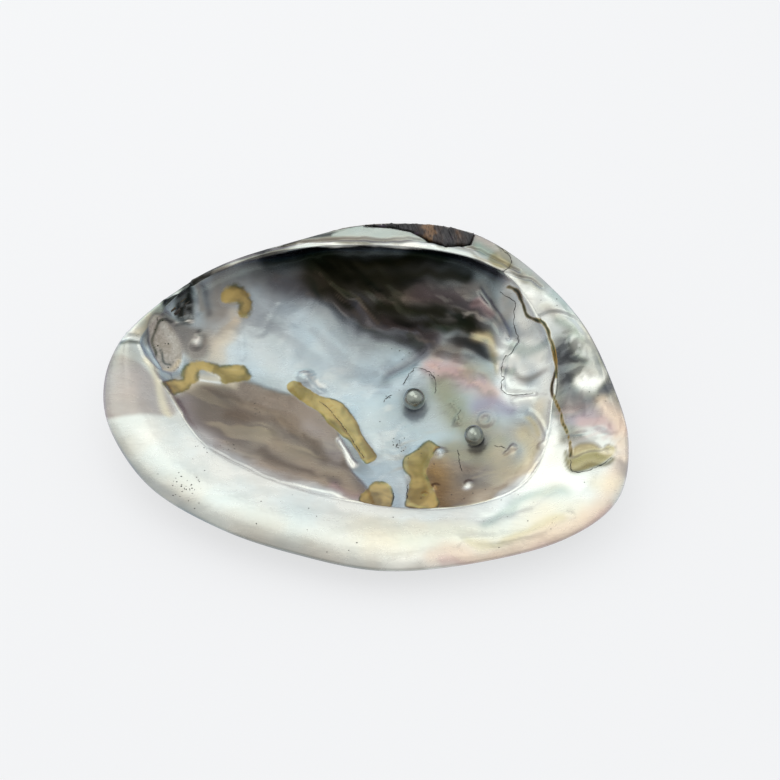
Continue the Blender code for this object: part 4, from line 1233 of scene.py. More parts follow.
    def round_marks(self, canvas: NacreCanvas) -> None:
        """Raises the blister, the studs, and the collars that the pearls sit in.

        Args:
            canvas: the nacre to raise them on.
        """
        bowl = canvas.on(BOWL)
        for x, y, radius in (*self.studs, self.blister):
            far = distance_to_line(canvas.place, np.array([(x, y)])) / radius
            canvas.relief += 0.55 * radius * np.sqrt(np.clip(1.0 - far ** 2, 0.0, 1.0)) * bowl
        for x, y, radius, height in self.collars:
            far = distance_to_line(canvas.place, np.array([(x, y)]))
            canvas.relief += height * np.exp(-((far - radius) / 0.55) ** 2) * bowl
            canvas.relief -= 0.25 * height * np.exp(-((far - radius - 1.5) / 0.5) ** 2) * bowl

    def lay(self, canvas: NacreCanvas) -> dict[str, np.ndarray]:
        """Lays everything on the canvas.

        Args:
            canvas: the nacre.

        Returns:
            The named masks: distances to the amber, to the scar and to the step's line, negative inside.
        """
        canvas.lay(self.relief, BOWL)
        self.round_marks(canvas)
        canvas.lay(self.bowl_colours, BOWL)
        canvas.lay(self.band_colours, BAND)
        canvas.glaze()
        amber = np.full(len(canvas.ring), FAR_AWAY)
        for outline, crisp, side in self.ambers:
            far = AMBER_SPREAD + crisp * (canvas.from_outline(outline) - AMBER_SPREAD)
            amber = np.where(canvas.on(side) > 0.5, np.minimum(amber, far), amber)
        return {
            "amber": amber,
            "scar": canvas.from_outline(self.scar),
            "step": distance_to_line(canvas.loose, open_curve(self.rear_step, canvas.steps)),
        }


class Wiring:
    """Short calls for building a node tree, of a material, a group or a geometry modifier."""

    def __init__(self, tree: bpy.types.NodeTree) -> None:
        """Works on that tree."""
        self.tree = tree

    def add(self, kind: str, inputs: dict[str | int, object] | None = None,
            **settings: object) -> bpy.types.Node:
        """Adds a node.

        Args:
            kind: the node's type name.
            inputs: what goes into its inputs, by name or number.
            **settings: its properties, by name.

        Returns:
            The node.
        """
        node = self.tree.nodes.new(kind)
        for name, value in settings.items():
            setattr(node, name, value)
        self.fill(node, inputs or {})
        return node

    def fill(self, node: bpy.types.Node, inputs: dict[str | int, object]) -> None:
        """Links or sets a node's inputs: a node stands for its first output, and None leaves one alone."""
        for name, value in inputs.items():
            value = value.outputs[0] if isinstance(value, bpy.types.Node) else value
            if isinstance(value, bpy.types.NodeSocket):
                self.tree.links.new(value, node.inputs[name])
            elif value is not None:
                node.inputs[name].default_value = value

    def maths(self, operation: str, first: object, second: object = None,
              third: object = None) -> bpy.types.NodeSocket:
        """A Math node.

        Args:
            operation: what it does.
            first: its first value, a socket or a number.
            second: its second value.
            third: its third value.

        Returns:
            Its result.
        """
        inputs = {0: first, 1: second, 2: third}
        return self.add("ShaderNodeMath", inputs, operation=operation).outputs[0]

    def times(self, first: object, second: object) -> bpy.types.NodeSocket:
        """The product of two values."""
        return self.maths("MULTIPLY", first, second)

    def plus(self, first: object, second: object) -> bpy.types.NodeSocket:
        """The sum of two values."""
        return self.maths("ADD", first, second)

    def minus(self, first: object, second: object) -> bpy.types.NodeSocket:
        """The difference of two values."""
        return self.maths("SUBTRACT", first, second)

    def ramp(self, value: object, low: float, high: float, to_low: float = 0.0,
             to_high: float = 1.0) -> bpy.types.NodeSocket:
        """Maps a value smoothly from one range to another.

        Args:
            value: the value.
            low: where the range starts.
            high: where it ends.
            to_low: the result at its start.
            to_high: the result at its end.

        Returns:
            The mapped value.
        """
        inputs = dict(enumerate((value, low, high, to_low, to_high)))
        return self.add("ShaderNodeMapRange", inputs, interpolation_type="SMOOTHSTEP").outputs[0]

    def blend(self, share: object, first: object, second: object, how: str = "MIX") -> bpy.types.NodeSocket:
        """Mixes two colours.

        Args:
            share: how much of the second.
            first: the first colour, a socket or a linear triple.
            second: the second.
            how: the way of mixing.

        Returns:
            The mixed colour.
        """
        first, second = ((*c, 1.0) if isinstance(c, tuple) else c for c in (first, second))
        inputs = {0: share, 6: first, 7: second}
        return self.add("ShaderNodeMix", inputs, data_type="RGBA", blend_type=how).outputs[2]

    def tint(self, colour: object, by: object) -> bpy.types.NodeSocket:
        """A colour multiplied by another."""
        return self.blend(1.0, colour, by, "MULTIPLY")

    def noise(self, place: object, scale: float, detail: float = 3.0, rough: float = 0.5,
              distortion: float = 0.0) -> bpy.types.NodeSocket:
        """A noise value from 0 to 1.

        Args:
            place: where to read it.
            scale: lumps to a unit.
            detail: how many finer layers.
            rough: how strong they are.
            distortion: how far it is pulled about.

        Returns:
            The noise.
        """
        return self.add("ShaderNodeTexNoise", {
            "Vector": place, "Scale": scale, "Detail": detail, "Roughness": rough, "Distortion": distortion,
        }).outputs[0]

    def attribute(self, name: str, part: str = "Fac") -> bpy.types.NodeSocket:
        """A named attribute of the piece: its Fac, Color or Vector."""
        return self.add("ShaderNodeAttribute", attribute_name=name).outputs[part]


class GrainGroup:
    """A node group for fine, drawn-out grain, which every finish here places with its own values."""

    NAME = "drawn_grain"

    @classmethod
    def tree(cls) -> bpy.types.NodeTree:
        """The group, built at its first use.

        Returns:
            The group's tree, with inputs Place, Scale and Stretch, and outputs Streaks, Mottle and Height.
        """
        made = bpy.data.node_groups.get(cls.NAME)
        if made:
            return made
        made = bpy.data.node_groups.new(cls.NAME, "ShaderNodeTree")
        for name, kind in (("Place", "Vector"), ("Scale", "Float"), ("Stretch", "Vector")):
            made.interface.new_socket(name, in_out="INPUT", socket_type="NodeSocket" + kind)
        for name in ("Streaks", "Mottle", "Height"):
            made.interface.new_socket(name, in_out="OUTPUT", socket_type="NodeSocketFloat")
        wire = Wiring(made)
        given = wire.add("NodeGroupInput").outputs
        place, scale = given["Place"], given["Scale"]
        drawn = wire.add("ShaderNodeVectorMath", {0: place, 1: given["Stretch"]}, operation="MULTIPLY")
        streaks = wire.noise(drawn, scale, 5.0, 0.62, 0.4)
        fine = wire.noise(place, wire.times(scale, 3.1), 2.0)
        wire.add("NodeGroupOutput", {
            "Streaks": streaks,
            "Mottle": wire.noise(place, wire.times(scale, 0.35), 3.0),
            "Height": wire.plus(wire.times(streaks, 0.7), wire.times(fine, 0.3)),
        })
        return made

    @classmethod
    def place(cls, wire: Wiring, where: object, scale: float,
              stretch: tuple[float, float, float]) -> bpy.types.bpy_prop_collection:
        """Places the group in a material.

        Args:
            wire: the material's wiring.
            where: the place it reads.
            scale: streaks to a unit.
            stretch: how much finer it is along each axis.

        Returns:
            The group's outputs.
        """
        inputs = {"Place": where, "Scale": scale, "Stretch": stretch}
        return wire.add("ShaderNodeGroup", inputs, node_tree=cls.tree()).outputs


def new_material(name: str) -> tuple[bpy.types.Material, Wiring, bpy.types.Node]:
    """A material with its wiring and its Principled BSDF."""
    made = bpy.data.materials.new(name)
    made.use_nodes = True
    return made, Wiring(made.node_tree), made.node_tree.nodes["Principled BSDF"]


def add_bump(wire: Wiring, shader: bpy.types.Node, height: object, distance: float, strength: float) -> None:
    """Feeds a height to the shader's normal.

    Args:
        wire: the material's wiring.
        shader: the shader.
        height: the height, from 0 to 1.
        distance: how tall 1 stands, in metres.
        strength: how much of it shows.
    """
    bump = wire.add("ShaderNodeBump", {"Distance": distance, "Strength": strength, "Height": height})
    wire.fill(shader, {"Normal": bump})


@dataclass(frozen=True)
class Lustre:
    """The glaze that nacre and pearl share: a clear coat over a thin film on slightly metallic sheets."""

    metallic: float
    roughness: float
    coat: float
    coat_roughness: float
    film_nanometres: float
    film_index: float = 1.38
    index: float = 1.6

    def apply(self, wire: Wiring, shader: bpy.types.Node) -> None:
        """Sets the shader's own constants."""
        wire.fill(shader, {
            "Metallic": self.metallic, "Roughness": self.roughness, "Coat Weight": self.coat,
            "Coat Roughness": self.coat_roughness, "Thin Film Thickness": self.film_nanometres,
            "Thin Film IOR": self.film_index, "IOR": self.index,
        })


@dataclass(frozen=True)
class NacreFinish:
    """The nacre: its painted colours, the amber patches, the chalky scar and the step behind the bowl."""

    lustre: Lustre = Lustre(0.30, 0.28, 0.45, 0.08, 412.0)
    warm_cast: Colour = srgb(250, 244, 240)
    cool_cast: Colour = srgb(238, 246, 252)
    cast: float = 0.6
    amber_light: Colour = srgb(192, 160, 92)
    amber_deep: Colour = srgb(126, 94, 32)
    amber_edge: Colour = srgb(62, 46, 14)
    step_line: Colour = srgb(46, 38, 18)
    chalk_shade: Colour = (0.74, 0.72, 0.70)
    chalk_white: Colour = (1.0, 1.0, 1.0)
    pit: Colour = srgb(40, 36, 34)
    pits_to_mm: float = 0.75
    dark_metallic: float = 0.85
    dark_coat: float = 0.08
    dark_to_bright: Point = (0.02, 0.30)
    amber_roughness: float = 0.06
    chalk_roughness: float = 0.4
    grain_depth: float = 0.00022

    def make(self) -> bpy.types.Material:
        """Builds the material.

        Returns:
            The material.
        """
        made, wire, shader = new_material("nacre")
        self.lustre.apply(wire, shader)
        place, tint = wire.attribute("valve_place", "Vector"), wire.attribute("tint", "Color")
        grain = GrainGroup.place(wire, place, 0.16, (0.5, 1.3, 1.0))
        streaky = wire.ramp(grain["Streaks"], 0.25, 0.75, 0.90, 1.05)
        colour = wire.tint(tint, wire.add("ShaderNodeCombineColor", dict.fromkeys(range(3), streaky)))
        cast = wire.blend(wire.ramp(grain["Mottle"], 0.35, 0.7), self.warm_cast, self.cool_cast)
        colour = wire.blend(self.cast, colour, wire.tint(colour, cast))

        ragged = wire.times(wire.minus(wire.noise(place, 0.55, 3.0), 0.5), 0.7)
        amber_far = wire.plus(wire.minus(wire.attribute("amber"), AMBER_SPREAD), ragged)
        amber = wire.ramp(amber_far, -0.30, 0.22, 1.0, 0.0)
        cloudy = wire.ramp(wire.noise(place, 0.13, 2.0, 0.5, 0.6), 0.30, 0.66)
        body = wire.blend(cloudy, self.amber_deep, self.amber_light)
        broken = wire.ramp(wire.noise(place, 0.12, 2.0), 0.40, 0.56, 0.1, 1.0)
        body = wire.blend(wire.times(wire.ramp(amber_far, -0.9, 0.0), broken), body, self.amber_edge)
        colour = wire.blend(wire.times(amber, 0.9), colour, body)

        scar = wire.ramp(wire.plus(wire.attribute("scar"), ragged), -0.5, 0.3, 1.0, 0.0)
        pits = wire.add("ShaderNodeTexVoronoi", {"Vector": place, "Scale": self.pits_to_mm}, feature="F1")
        pitted = wire.times(wire.ramp(pits.outputs["Distance"], 0.14, 0.22, 1.0, 0.0),
                            wire.ramp(wire.noise(place, 0.4, 1.0), 0.50, 0.56))
        chalky = wire.ramp(wire.noise(place, 0.5, 5.0, 0.65, 1.5), 0.38, 0.66)
        chalky = wire.tint(colour, wire.blend(chalky, self.chalk_shade, self.chalk_white))
        colour = wire.blend(scar, colour, wire.blend(pitted, chalky, self.pit))

        unequal = wire.ramp(wire.noise(place, 0.2, 2.0), 0.3, 0.7, -0.14, 0.16)
        step_far = wire.plus(wire.attribute("step"), unequal)
        colour = wire.blend(wire.ramp(step_far, 0.30, 0.65, 0.8, 0.0), colour, self.amber_deep)
        colour = wire.blend(wire.ramp(step_far, 0.05, 0.42, 0.9, 0.0), colour, self.step_line)

        rough = wire.ramp(grain["Streaks"], 0.3, 0.7, 0.21, 0.31)
        rough = wire.plus(rough, wire.times(amber, self.amber_roughness))
        no_scar = wire.minus(1.0, scar)
        bare = wire.times(wire.minus(1.0, amber), no_scar)
        bright = wire.add("ShaderNodeRGBToBW", {0: tint})
        metallic = wire.ramp(bright, *self.dark_to_bright, self.dark_metallic, self.lustre.metallic)
        coat = wire.ramp(bright, *self.dark_to_bright, self.dark_coat, self.lustre.coat)
        wire.fill(shader, {
            "Base Color": colour,
            "Roughness": wire.plus(rough, wire.times(scar, self.chalk_roughness)),
            "Metallic": wire.times(bare, metallic),
            "Coat Weight": wire.times(no_scar, coat),
        })
        relief = wire.plus(grain["Height"], wire.times(wire.times(pitted, scar), -1.2))
        add_bump(wire, shader, relief, self.grain_depth, 0.8)
        return made


@dataclass(frozen=True)
class SkinFinish:
    """The horny outer skin: dark olive brown, ringed by growth, and worn to the nacre at the umbo."""

    young: Colour = srgb(112, 96, 62)
    old: Colour = srgb(42, 36, 26)
    dark_streak: Colour = srgb(24, 20, 16)
    worn: Colour = srgb(206, 198, 182)
    worn_light: Colour = srgb(222, 222, 214)
    umbo: Point = (-12.0, 38.0)
    worn_radius: float = 17.0
    worn_ragged: float = 26.0
    bands: float = 34.0
    lines_to_band: float = 5.0
    coat: float = 0.15
    coat_roughness: float = 0.3
    grain_depth: float = 0.00035

    def make(self) -> bpy.types.Material:
        """Builds the material.

        Returns:
            The material.
        """
        made, wire, shader = new_material("outer_skin")
        place = wire.attribute("valve_place", "Vector")
        grain = GrainGroup.place(wire, place, 0.30, (1.0, 1.0, 1.6))
        wave = wire.plus(wire.times(wire.attribute("ring"), self.bands), wire.times(grain["Mottle"], 3.0))
        bands = wire.maths("MULTIPLY_ADD", wire.maths("SINE", wave), 0.5, 0.5)
        colour = wire.blend(wire.times(bands, 0.8), self.old, self.young)
        colour = wire.blend(wire.ramp(grain["Streaks"], 0.4, 0.75, 0.0, 0.6), colour, self.dark_streak)
        flat = wire.add("ShaderNodeVectorMath", {0: place, 1: (1.0, 1.0, 0.0)}, operation="MULTIPLY")
        away = wire.add("ShaderNodeVectorMath", {0: flat, 1: (*self.umbo, 0.0)}, operation="DISTANCE")
        ragged = wire.times(wire.minus(wire.noise(place, 0.16, 5.0, 0.6, 1.0), 0.5), self.worn_ragged)
        far = wire.plus(away.outputs["Value"], ragged)
        bare = wire.ramp(far, self.worn_radius - 1.0, self.worn_radius + 1.0, 1.0, 0.0)
        nacre = wire.blend(grain["Mottle"], self.worn, self.worn_light)
        wire.fill(shader, {
            "Base Color": wire.blend(bare, colour, nacre),
            "Roughness": wire.ramp(bare, 0.0, 1.0, 0.52, 0.33),
            "Coat Weight": self.coat,
            "Coat Roughness": self.coat_roughness,
        })
        lines = wire.maths("SINE", wire.times(wave, self.lines_to_band))
        lines = wire.maths("MULTIPLY_ADD", lines, 0.25, grain["Height"])
        add_bump(wire, shader, wire.minus(lines, wire.times(bare, 0.8)), self.grain_depth, 0.9)
        return made


@dataclass(frozen=True)
class PearlFinish:
    """A grey pearl's skin, a little green, with faint rings round it."""

    light: Colour = srgb(190, 194, 184)
    deep: Colour = srgb(134, 140, 130)
    lustre: Lustre = Lustre(0.80, 0.15, 1.0, 0.03, 405.0)
    grain_depth: float = 0.00006

    def make(self) -> bpy.types.Material:
        """Builds the material.

        Returns:
            The material.
        """
        made, wire, shader = new_material("pearl")
        self.lustre.apply(wire, shader)
        place = wire.add("ShaderNodeTexCoord").outputs["Object"]
        grain = GrainGroup.place(wire, place, 420.0, (1.0, 1.0, 2.4))
        wire.fill(shader, {
            "Base Color": wire.blend(wire.ramp(grain["Mottle"], 0.3, 0.7), self.deep, self.light),
            "Roughness": wire.ramp(grain["Streaks"], 0.3, 0.7, 0.16, 0.26),
        })
        add_bump(wire, shader, grain["Height"], self.grain_depth, 0.7)
        return made


@dataclass(frozen=True)
class LigamentFinish:
    """Dried ligament: black and brown horny sheets on edge, with a violet gleam."""

    black: Colour = srgb(12, 9, 11)
    brown: Colour = srgb(120, 90, 60)
    dark_brown: Colour = srgb(44, 30, 22)
    gleam: Colour = srgb(120, 96, 128)
    coat: float = 0.25
    coat_roughness: float = 0.2
    grain_depth: float = 0.0004

    def make(self) -> bpy.types.Material:
        """Builds the material.

        Returns:
            The material.
        """
        made, wire, shader = new_material("ligament")
        grain = GrainGroup.place(wire, wire.attribute("valve_place", "Vector"), 0.55, (2.6, 0.5, 1.0))
        browning = wire.attribute("browning")
        colour = wire.blend(wire.ramp(browning, 0.25, 0.6), self.black, self.dark_brown)
        colour = wire.blend(wire.ramp(browning, 0.6, 0.95), colour, self.brown)
        colour = wire.blend(wire.ramp(grain["Streaks"], 0.46, 0.66, 0.0, 0.8), colour, self.black)
        colour = wire.blend(wire.ramp(grain["Mottle"], 0.56, 0.72, 0.0, 0.55), colour, self.gleam)
        wire.fill(shader, {
            "Base Color": colour,
            "Roughness": wire.ramp(grain["Streaks"], 0.3, 0.7, 0.3, 0.6),
            "Coat Weight": self.coat,
            "Coat Roughness": self.coat_roughness,
        })
        add_bump(wire, shader, grain["Height"], self.grain_depth, 0.9)
        return made


@dataclass(frozen=True)
class DarkFinish:
    """The finish of cracks and specks: two near-black browns, mottled."""

    first: Colour = srgb(26, 24, 24)
    second: Colour = srgb(58, 52, 48)
    roughness: float = 0.6
    grain_depth: float = 0.00005

    def make(self) -> bpy.types.Material:
        """Builds the material.

        Returns:
            The material.
        """
        made, wire, shader = new_material("dark_pit")
        place = wire.add("ShaderNodeTexCoord").outputs["Object"]
        grain = GrainGroup.place(wire, place, 900.0, (1.0, 1.0, 1.0))
        colour = wire.blend(grain["Mottle"], self.first, self.second)
        wire.fill(shader, {"Base Color": colour, "Roughness": self.roughness})
        add_bump(wire, shader, grain["Height"], self.grain_depth, 0.6)
        return made


class GeometryTree:
    """A Geometry Nodes tree with named inputs, used once on a piece and then made a plain mesh."""

    def __init__(self, name: str, **inputs: tuple[str, object]) -> None:
        """Starts the tree with its geometry in and out, and its inputs.

        Args:
            name: its name.
            **inputs: the kind and the value of each input, by name.
        """
        self.tree = bpy.data.node_groups.new(name, "GeometryNodeTree")
        sockets = self.tree.interface
        for way in ("INPUT", "OUTPUT"):
            sockets.new_socket("Geometry", in_out=way, socket_type="NodeSocketGeometry")
        self.values: dict[str, object] = {}
        for label, (kind, value) in inputs.items():
            made = sockets.new_socket(label, in_out="INPUT", socket_type="NodeSocket" + kind)
            self.values[made.identifier] = value
        self.wire = Wiring(self.tree)
        self.given = self.wire.add("NodeGroupInput").outputs

    def named(self, kind: str, name: str) -> bpy.types.NodeSocket:
        """The value of a named attribute of the piece."""
        node = self.wire.add("GeometryNodeInputNamedAttribute", {"Name": name}, data_type=kind)
        return node.outputs["Attribute"]

    def lay_on_valve(self, geometry: object) -> bpy.types.Node:
        """Moves points or curves to the nearest place on the object that is given as Valve."""
        add = self.wire.add
        seen = add("GeometryNodeObjectInfo", {"Object": self.given["Valve"]}, transform_space="RELATIVE")
        near = add("GeometryNodeProximity", {0: seen.outputs["Geometry"]}, target_element="FACES")
        return add("GeometryNodeSetPosition", {"Geometry": geometry, "Position": near.outputs["Position"]})

    def finish(self, geometry: object, finishes: Sequence[tuple[bpy.types.Material, object]]) -> None:
        """Ends the tree: instances are made real, and each finish is set where its selection says.

        Args:
            geometry: the geometry to end with.
            finishes: each finish's material and its selection, or None for everywhere.
        """
        geometry = self.wire.add("GeometryNodeRealizeInstances", {0: geometry})
        for material, selection in finishes:
            geometry = self.wire.add("GeometryNodeSetMaterial", {
                "Geometry": geometry, "Selection": selection, "Material": material,
            })
        self.wire.add("NodeGroupOutput", {0: geometry})

    def make_real(self, base: bpy.types.Object, name: str) -> bpy.types.Object:
        """Runs the tree on an object, and turns the result into a plain mesh in its place.

        Args:
            base: the object that the tree works on, which is removed.
            name: the new object's name.

        Returns:
            The new object.
        """
        step = base.modifiers.new(self.tree.name, "NODES")
        step.node_group = self.tree
        for identifier, value in self.values.items():
            step[identifier] = value
        bpy.context.view_layer.update()
        evaluated = base.evaluated_get(bpy.context.evaluated_depsgraph_get())
        data = bpy.data.meshes.new_from_object(evaluated)
        base.modifiers.remove(step)
        bpy.data.objects.remove(base)
        data.name = name
        return link_object(name, data)


def mesh_object(name: str, points: np.ndarray, edges: Sequence[tuple[int, int]] = (),
                faces: Sequence[tuple[int, ...]] = ()) -> bpy.types.Object:
    """A linked mesh object at the origin.

    Args:
        name: its name.
        points: its points, in metres.
        edges: its loose edges.
        faces: its faces.

    Returns:
        The object.
    """
    data = bpy.data.meshes.new(name)
    data.from_pydata(np.asarray(points).tolist(), list(edges), list(faces))
    return link_object(name, data)


def settle(piece: bpy.types.Object, slot: str, *nodes: str) -> bpy.types.Object:
    """Puts a finished piece in the model, and reports it.

    Args:
        piece: the piece.
        slot: the record's material for the piece; not used.
        *nodes: the solids that it stands for.

    Returns:
        The piece.
    """
    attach(piece, BODY)
    if nodes:
        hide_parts(*nodes)
    LOG.info("%s: %d faces", piece.name, len(piece.data.polygons))
    return piece


@dataclass
class GrowthRings:
    """The ridges that each year's growth leaves on the outside, cut back from the true surface."""

    ridges: float = 21.0
    depth: float = 0.55
    wander: float = 1.5
    foot_clear: float = 0.9
    rim_fade: float = 0.93
    sharpness: float = 1.7

    def depth_share(self, ring: np.ndarray, height: np.ndarray) -> np.ndarray:
        """How much of their depth the ridges get: none at the rim, and none near the flat foot.

        Args:
            ring: the outside's rings.
            height: how far above the floor each point is, in millimetres.

        Returns:
            The shares.
        """
        clear = smooth_step(0.15 * self.foot_clear, self.foot_clear, height)
        return clear * (1.0 - smooth_step(self.rim_fade, 1.0, ring))

    def carve(self, valve: bpy.types.Object, nacre: bpy.types.Material,
              skin: bpy.types.Material) -> bpy.types.Object:
        """Carves the ridges and dresses the valve.

        Args:
            valve: the valve, which says where the ridges go.
            nacre: the finish of the nacre side.
            skin: the finish of the outside.

        Returns:
            The carved valve.
        """
        made = GeometryTree("growth_rings", Ridges=("Float", self.ridges), Depth=("Float", self.depth * MM),
                            Wander=("Float", self.wander))
        wire, given = made.wire, made.given
        place = made.named("FLOAT_VECTOR", "valve_place")
        wave = wire.times(made.named("FLOAT", "ring"), given["Ridges"])
        wave = wire.maths("FRACT", wire.plus(wave, wire.times(wire.noise(place, 0.07, 3.0), given["Wander"])))
        tooth = wire.times(wire.maths("POWER", wave, self.sharpness), wire.ramp(wave, 0.88, 1.0, 1.0, 0.0))
        uneven = wire.ramp(wire.noise(place, 0.2), 0.2, 0.7, 0.5)
        cut = wire.times(wire.minus(1.0, wire.times(tooth, uneven)), made.named("FLOAT", "growth"))
        depth = wire.times(wire.times(cut, given["Depth"]), -1.0)
        inward = wire.add("ShaderNodeVectorMath", {0: wire.add("GeometryNodeInputNormal"), "Scale": depth},
                          operation="SCALE")
        move = wire.add("GeometryNodeSetPosition", {"Geometry": given["Geometry"], "Offset": inward})
        made.finish(move, [(nacre, None), (skin, made.named("BOOLEAN", "outside"))])
        return made.make_real(valve, "shell_valve")


@dataclass
class HairlineCracks:
    """Fine dark cracks that run over the nacre, each a thin thread laid in it."""

    radius: float = 0.13
    wander: float = 0.35
    step: float = 0.35
    shakes_to_metre: float = 700.0
    thin_to_thick: Point = (0.45, 1.25)
    sides: int = 6
    bowl_lines: Sequence[Sequence[Point]] = (
        ((45, 40), (47.3, 37.5), (50, 35), (49.3, 33), (49.5, 31), (49.3, 29), (49.8, 23.5), (47, 19.5),
         (46, 18), (45.2, 16), (45.3, 13), (45, 8.5), (46, 6.5), (48.8, 5.3), (52, 4.9), (55, 4.8)),
        ((30, -13), (30.4, -15.5), (30.2, -17.5), (31, -20.5)),
        ((13.3, -25.5), (13.0, -28), (12.9, -30.8)),
        ((8.9, -28.5), (8.6, -31), (8.4, -33)),
        ((12, 12), (15, 16.5), (17.5, 17.6), (21.8, 15.3), (23.3, 12), (23, 8)),
        ((28, 4.5), (31, 2), (31, 0), (30, -2.6)),
        ((-16, 5.6), (-11, 0.6), (-7.8, -4), (-4, -10.5), (-1, -15)),
        ((5.4, 5.6), (6.4, 7.2), (8, 8)),
        ((42, -12), (45.5, -13.4)),
    )
    band_lines: Sequence[Sequence[Point]] = (
        ((44, 54), (47.8, 50), (47.6, 46), (45, 44)),
        ((64.6, -20), (64.4, -23.4), (66, -24.6), (70, -24), (74, -22.3), (77, -20)),
    )

    def lines(self, form: ValveForm) -> tuple[np.ndarray, list[tuple[int, int]]]:
        """Draws the lines on the nacre.

        Args:
            form: the valve's true surfaces.

        Returns:
            Their points, in metres, and the edges between them.
        """
        points, edges = [], []
        for lines, on_band in ((self.bowl_lines, False), (self.band_lines, True)):
            for line in lines:
                here, _ = form.nacre_at(open_curve(line, 4), on_band)
                edges += [(len(points) + k, len(points) + k + 1) for k in range(len(here) - 1)]
                points += here.tolist()
        return form.place.to_model(np.array(points)), edges

    def spin(self, valve: bpy.types.Object, form: ValveForm, dark: bpy.types.Material) -> bpy.types.Object:
        """Turns the lines into threads on the valve's own surface.

        Args:
            valve: the finished valve, which they lie on.
            form: its true surfaces.
            dark: their finish.

        Returns:
            The cracks.
        """
        base = mesh_object("crack_lines", *self.lines(form))
        made = GeometryTree("crack_threads", Valve=("Object", valve), Radius=("Float", self.radius * MM),
                            Wander=("Float", self.wander * MM), Step=("Float", self.step * MM))
        wire, given = made.wire, made.given
        curve = wire.add("GeometryNodeMeshToCurve", {"Mesh": given["Geometry"]})
        even = wire.add("GeometryNodeResampleCurve", {"Curve": curve, "Length": given["Step"]}, mode="LENGTH")
        shaky = wire.add("ShaderNodeTexNoise", {
            "Vector": wire.add("GeometryNodeInputPosition"), "Scale": self.shakes_to_metre, "Detail": 3.0,
        })
        middle = wire.add("ShaderNodeVectorMath", {0: shaky.outputs["Color"], 1: (0.5, 0.5, 0.5)},
                          operation="SUBTRACT")
        aside = wire.add("ShaderNodeVectorMath", {0: middle, "Scale": wire.times(given["Wander"], 4.0)},
                         operation="SCALE")
        move = wire.add("GeometryNodeSetPosition", {"Geometry": even, "Offset": aside})
        around = wire.add("GeometryNodeCurvePrimitiveCircle", {
            "Resolution": self.sides, "Radius": given["Radius"],
        })
        tube = wire.add("GeometryNodeCurveToMesh", {
            "Curve": made.lay_on_valve(move), "Profile Curve": around, "Fill Caps": True,
            "Scale": wire.ramp(shaky, 0.3, 0.7, *self.thin_to_thick),
        })
        made.finish(tube, [(dark, None)])
        return made.make_real(base, "hairline_cracks")


@dataclass
class Specks:
    """Small dark pits and grains in the nacre, strewn in clusters and singly."""

    size: float = 0.24
    seed: int = 4
    spread: float = 0.42
    rim_clear: float = 1.6
    crest_clear: float = 0.6
    bowl_clear: float = 2.0
    smallest: tuple[float, float, float] = (0.35, 0.3, 0.18)
    largest: tuple[float, float, float] = (1.25, 0.95, 0.4)
    clusters: Sequence[tuple[float, float, float, int, bool]] = (
        (10.5, -10.5, 2.6, 26, False), (7.0, 7.0, 1.4, 8, False), (23.0, 14.5, 1.2, 6, False),
        (-36.0, 2.0, 4.0, 7, False), (-46.0, -14.5, 6.0, 7, False), (-10.0, -26.0, 6.0, 4, False),
        (10.0, 16.0, 16.0, 12, False), (18.0, -14.0, 12.0, 9, False), (30.0, -29.0, 10.0, 5, False),
        (-56.0, -30.0, 7.0, 34, True), (-54.0, -15.0, 6.0, 10, True), (-22.0, -40.0, 26.0, 14, True),
        (46.0, -40.0, 20.0, 12, True), (70.0, 8.0, 14.0, 7, True), (60.0, 34.0, 9.0, 5, True),
        (-67.0, 21.0, 5.0, 26, True), (-2.0, 57.5, 14.0, 5, True),
    )

    def spots(self, form: ValveForm) -> tuple[np.ndarray, np.ndarray]:
        """Where they lie, and the nacre's normals there.

        Args:
            form: the valve's true surfaces.

        Returns:
            The points in metres, and the unit normals.
        """
        draw = np.random.default_rng(self.seed)
        found, normals = [], []
        for on_band in (False, True):
            places = []
            for x, y, spread, count, banded in self.clusters:
                if banded is on_band:
                    places += (draw.normal(0.0, self.spread * spread, (count, 2)) + (x, y)).tolist()
            offset = np.array(places) - np.array(form.centre)
            angle, out = np.arctan2(offset[:, 1], offset[:, 0]), np.hypot(offset[:, 0], offset[:, 1])
            rim, crest = form.rim_curve.reach(angle), form.crest_curve.reach(angle)
            keep = out < crest - self.bowl_clear
            if on_band:
                keep = (out > crest + self.crest_clear) & (out < rim - self.rim_clear)
            here, up = form.nacre_at(np.array(places)[keep], on_band)
            found.append(form.place.to_model(here))
            normals.append(form.place.to_model(here + up) - form.place.to_model(here))
        return np.concatenate(found), np.concatenate(normals) / MM

    def strew(self, valve: bpy.types.Object, form: ValveForm, dark: bpy.types.Material) -> bpy.types.Object:
        """Strews them over the valve.

        Args:
            valve: the finished valve, which they lie in.
            form: its true surfaces.
            dark: their finish.

        Returns:
            The specks.
        """
        points, normals = self.spots(form)
        base = mesh_object("speck_spots", points)
        add_attribute(base.data, "up", normals)
        made = GeometryTree("speck_scatter", Valve=("Object", valve), Size=("Float", self.size * MM),
                            Seed=("Int", self.seed))
        wire, given = made.wire, made.given
        grain = wire.add("GeometryNodeMeshIcoSphere", {"Radius": given["Size"], "Subdivisions": 2})
        turn = wire.add("FunctionNodeAlignRotationToVector", {
            "Vector": made.named("FLOAT_VECTOR", "up"),
        }, axis="Z")
        sizes = wire.add("FunctionNodeRandomValue", {
            "Min": self.smallest, "Max": self.largest, "Seed": given["Seed"],
        }, data_type="FLOAT_VECTOR")
        copy = wire.add("GeometryNodeInstanceOnPoints", {
            "Points": made.lay_on_valve(given["Geometry"]), "Instance": grain.outputs["Mesh"],
            "Rotation": turn, "Scale": sizes.outputs["Value"],
        })
        made.finish(copy, [(dark, None)])
        return made.make_real(base, "dark_specks")


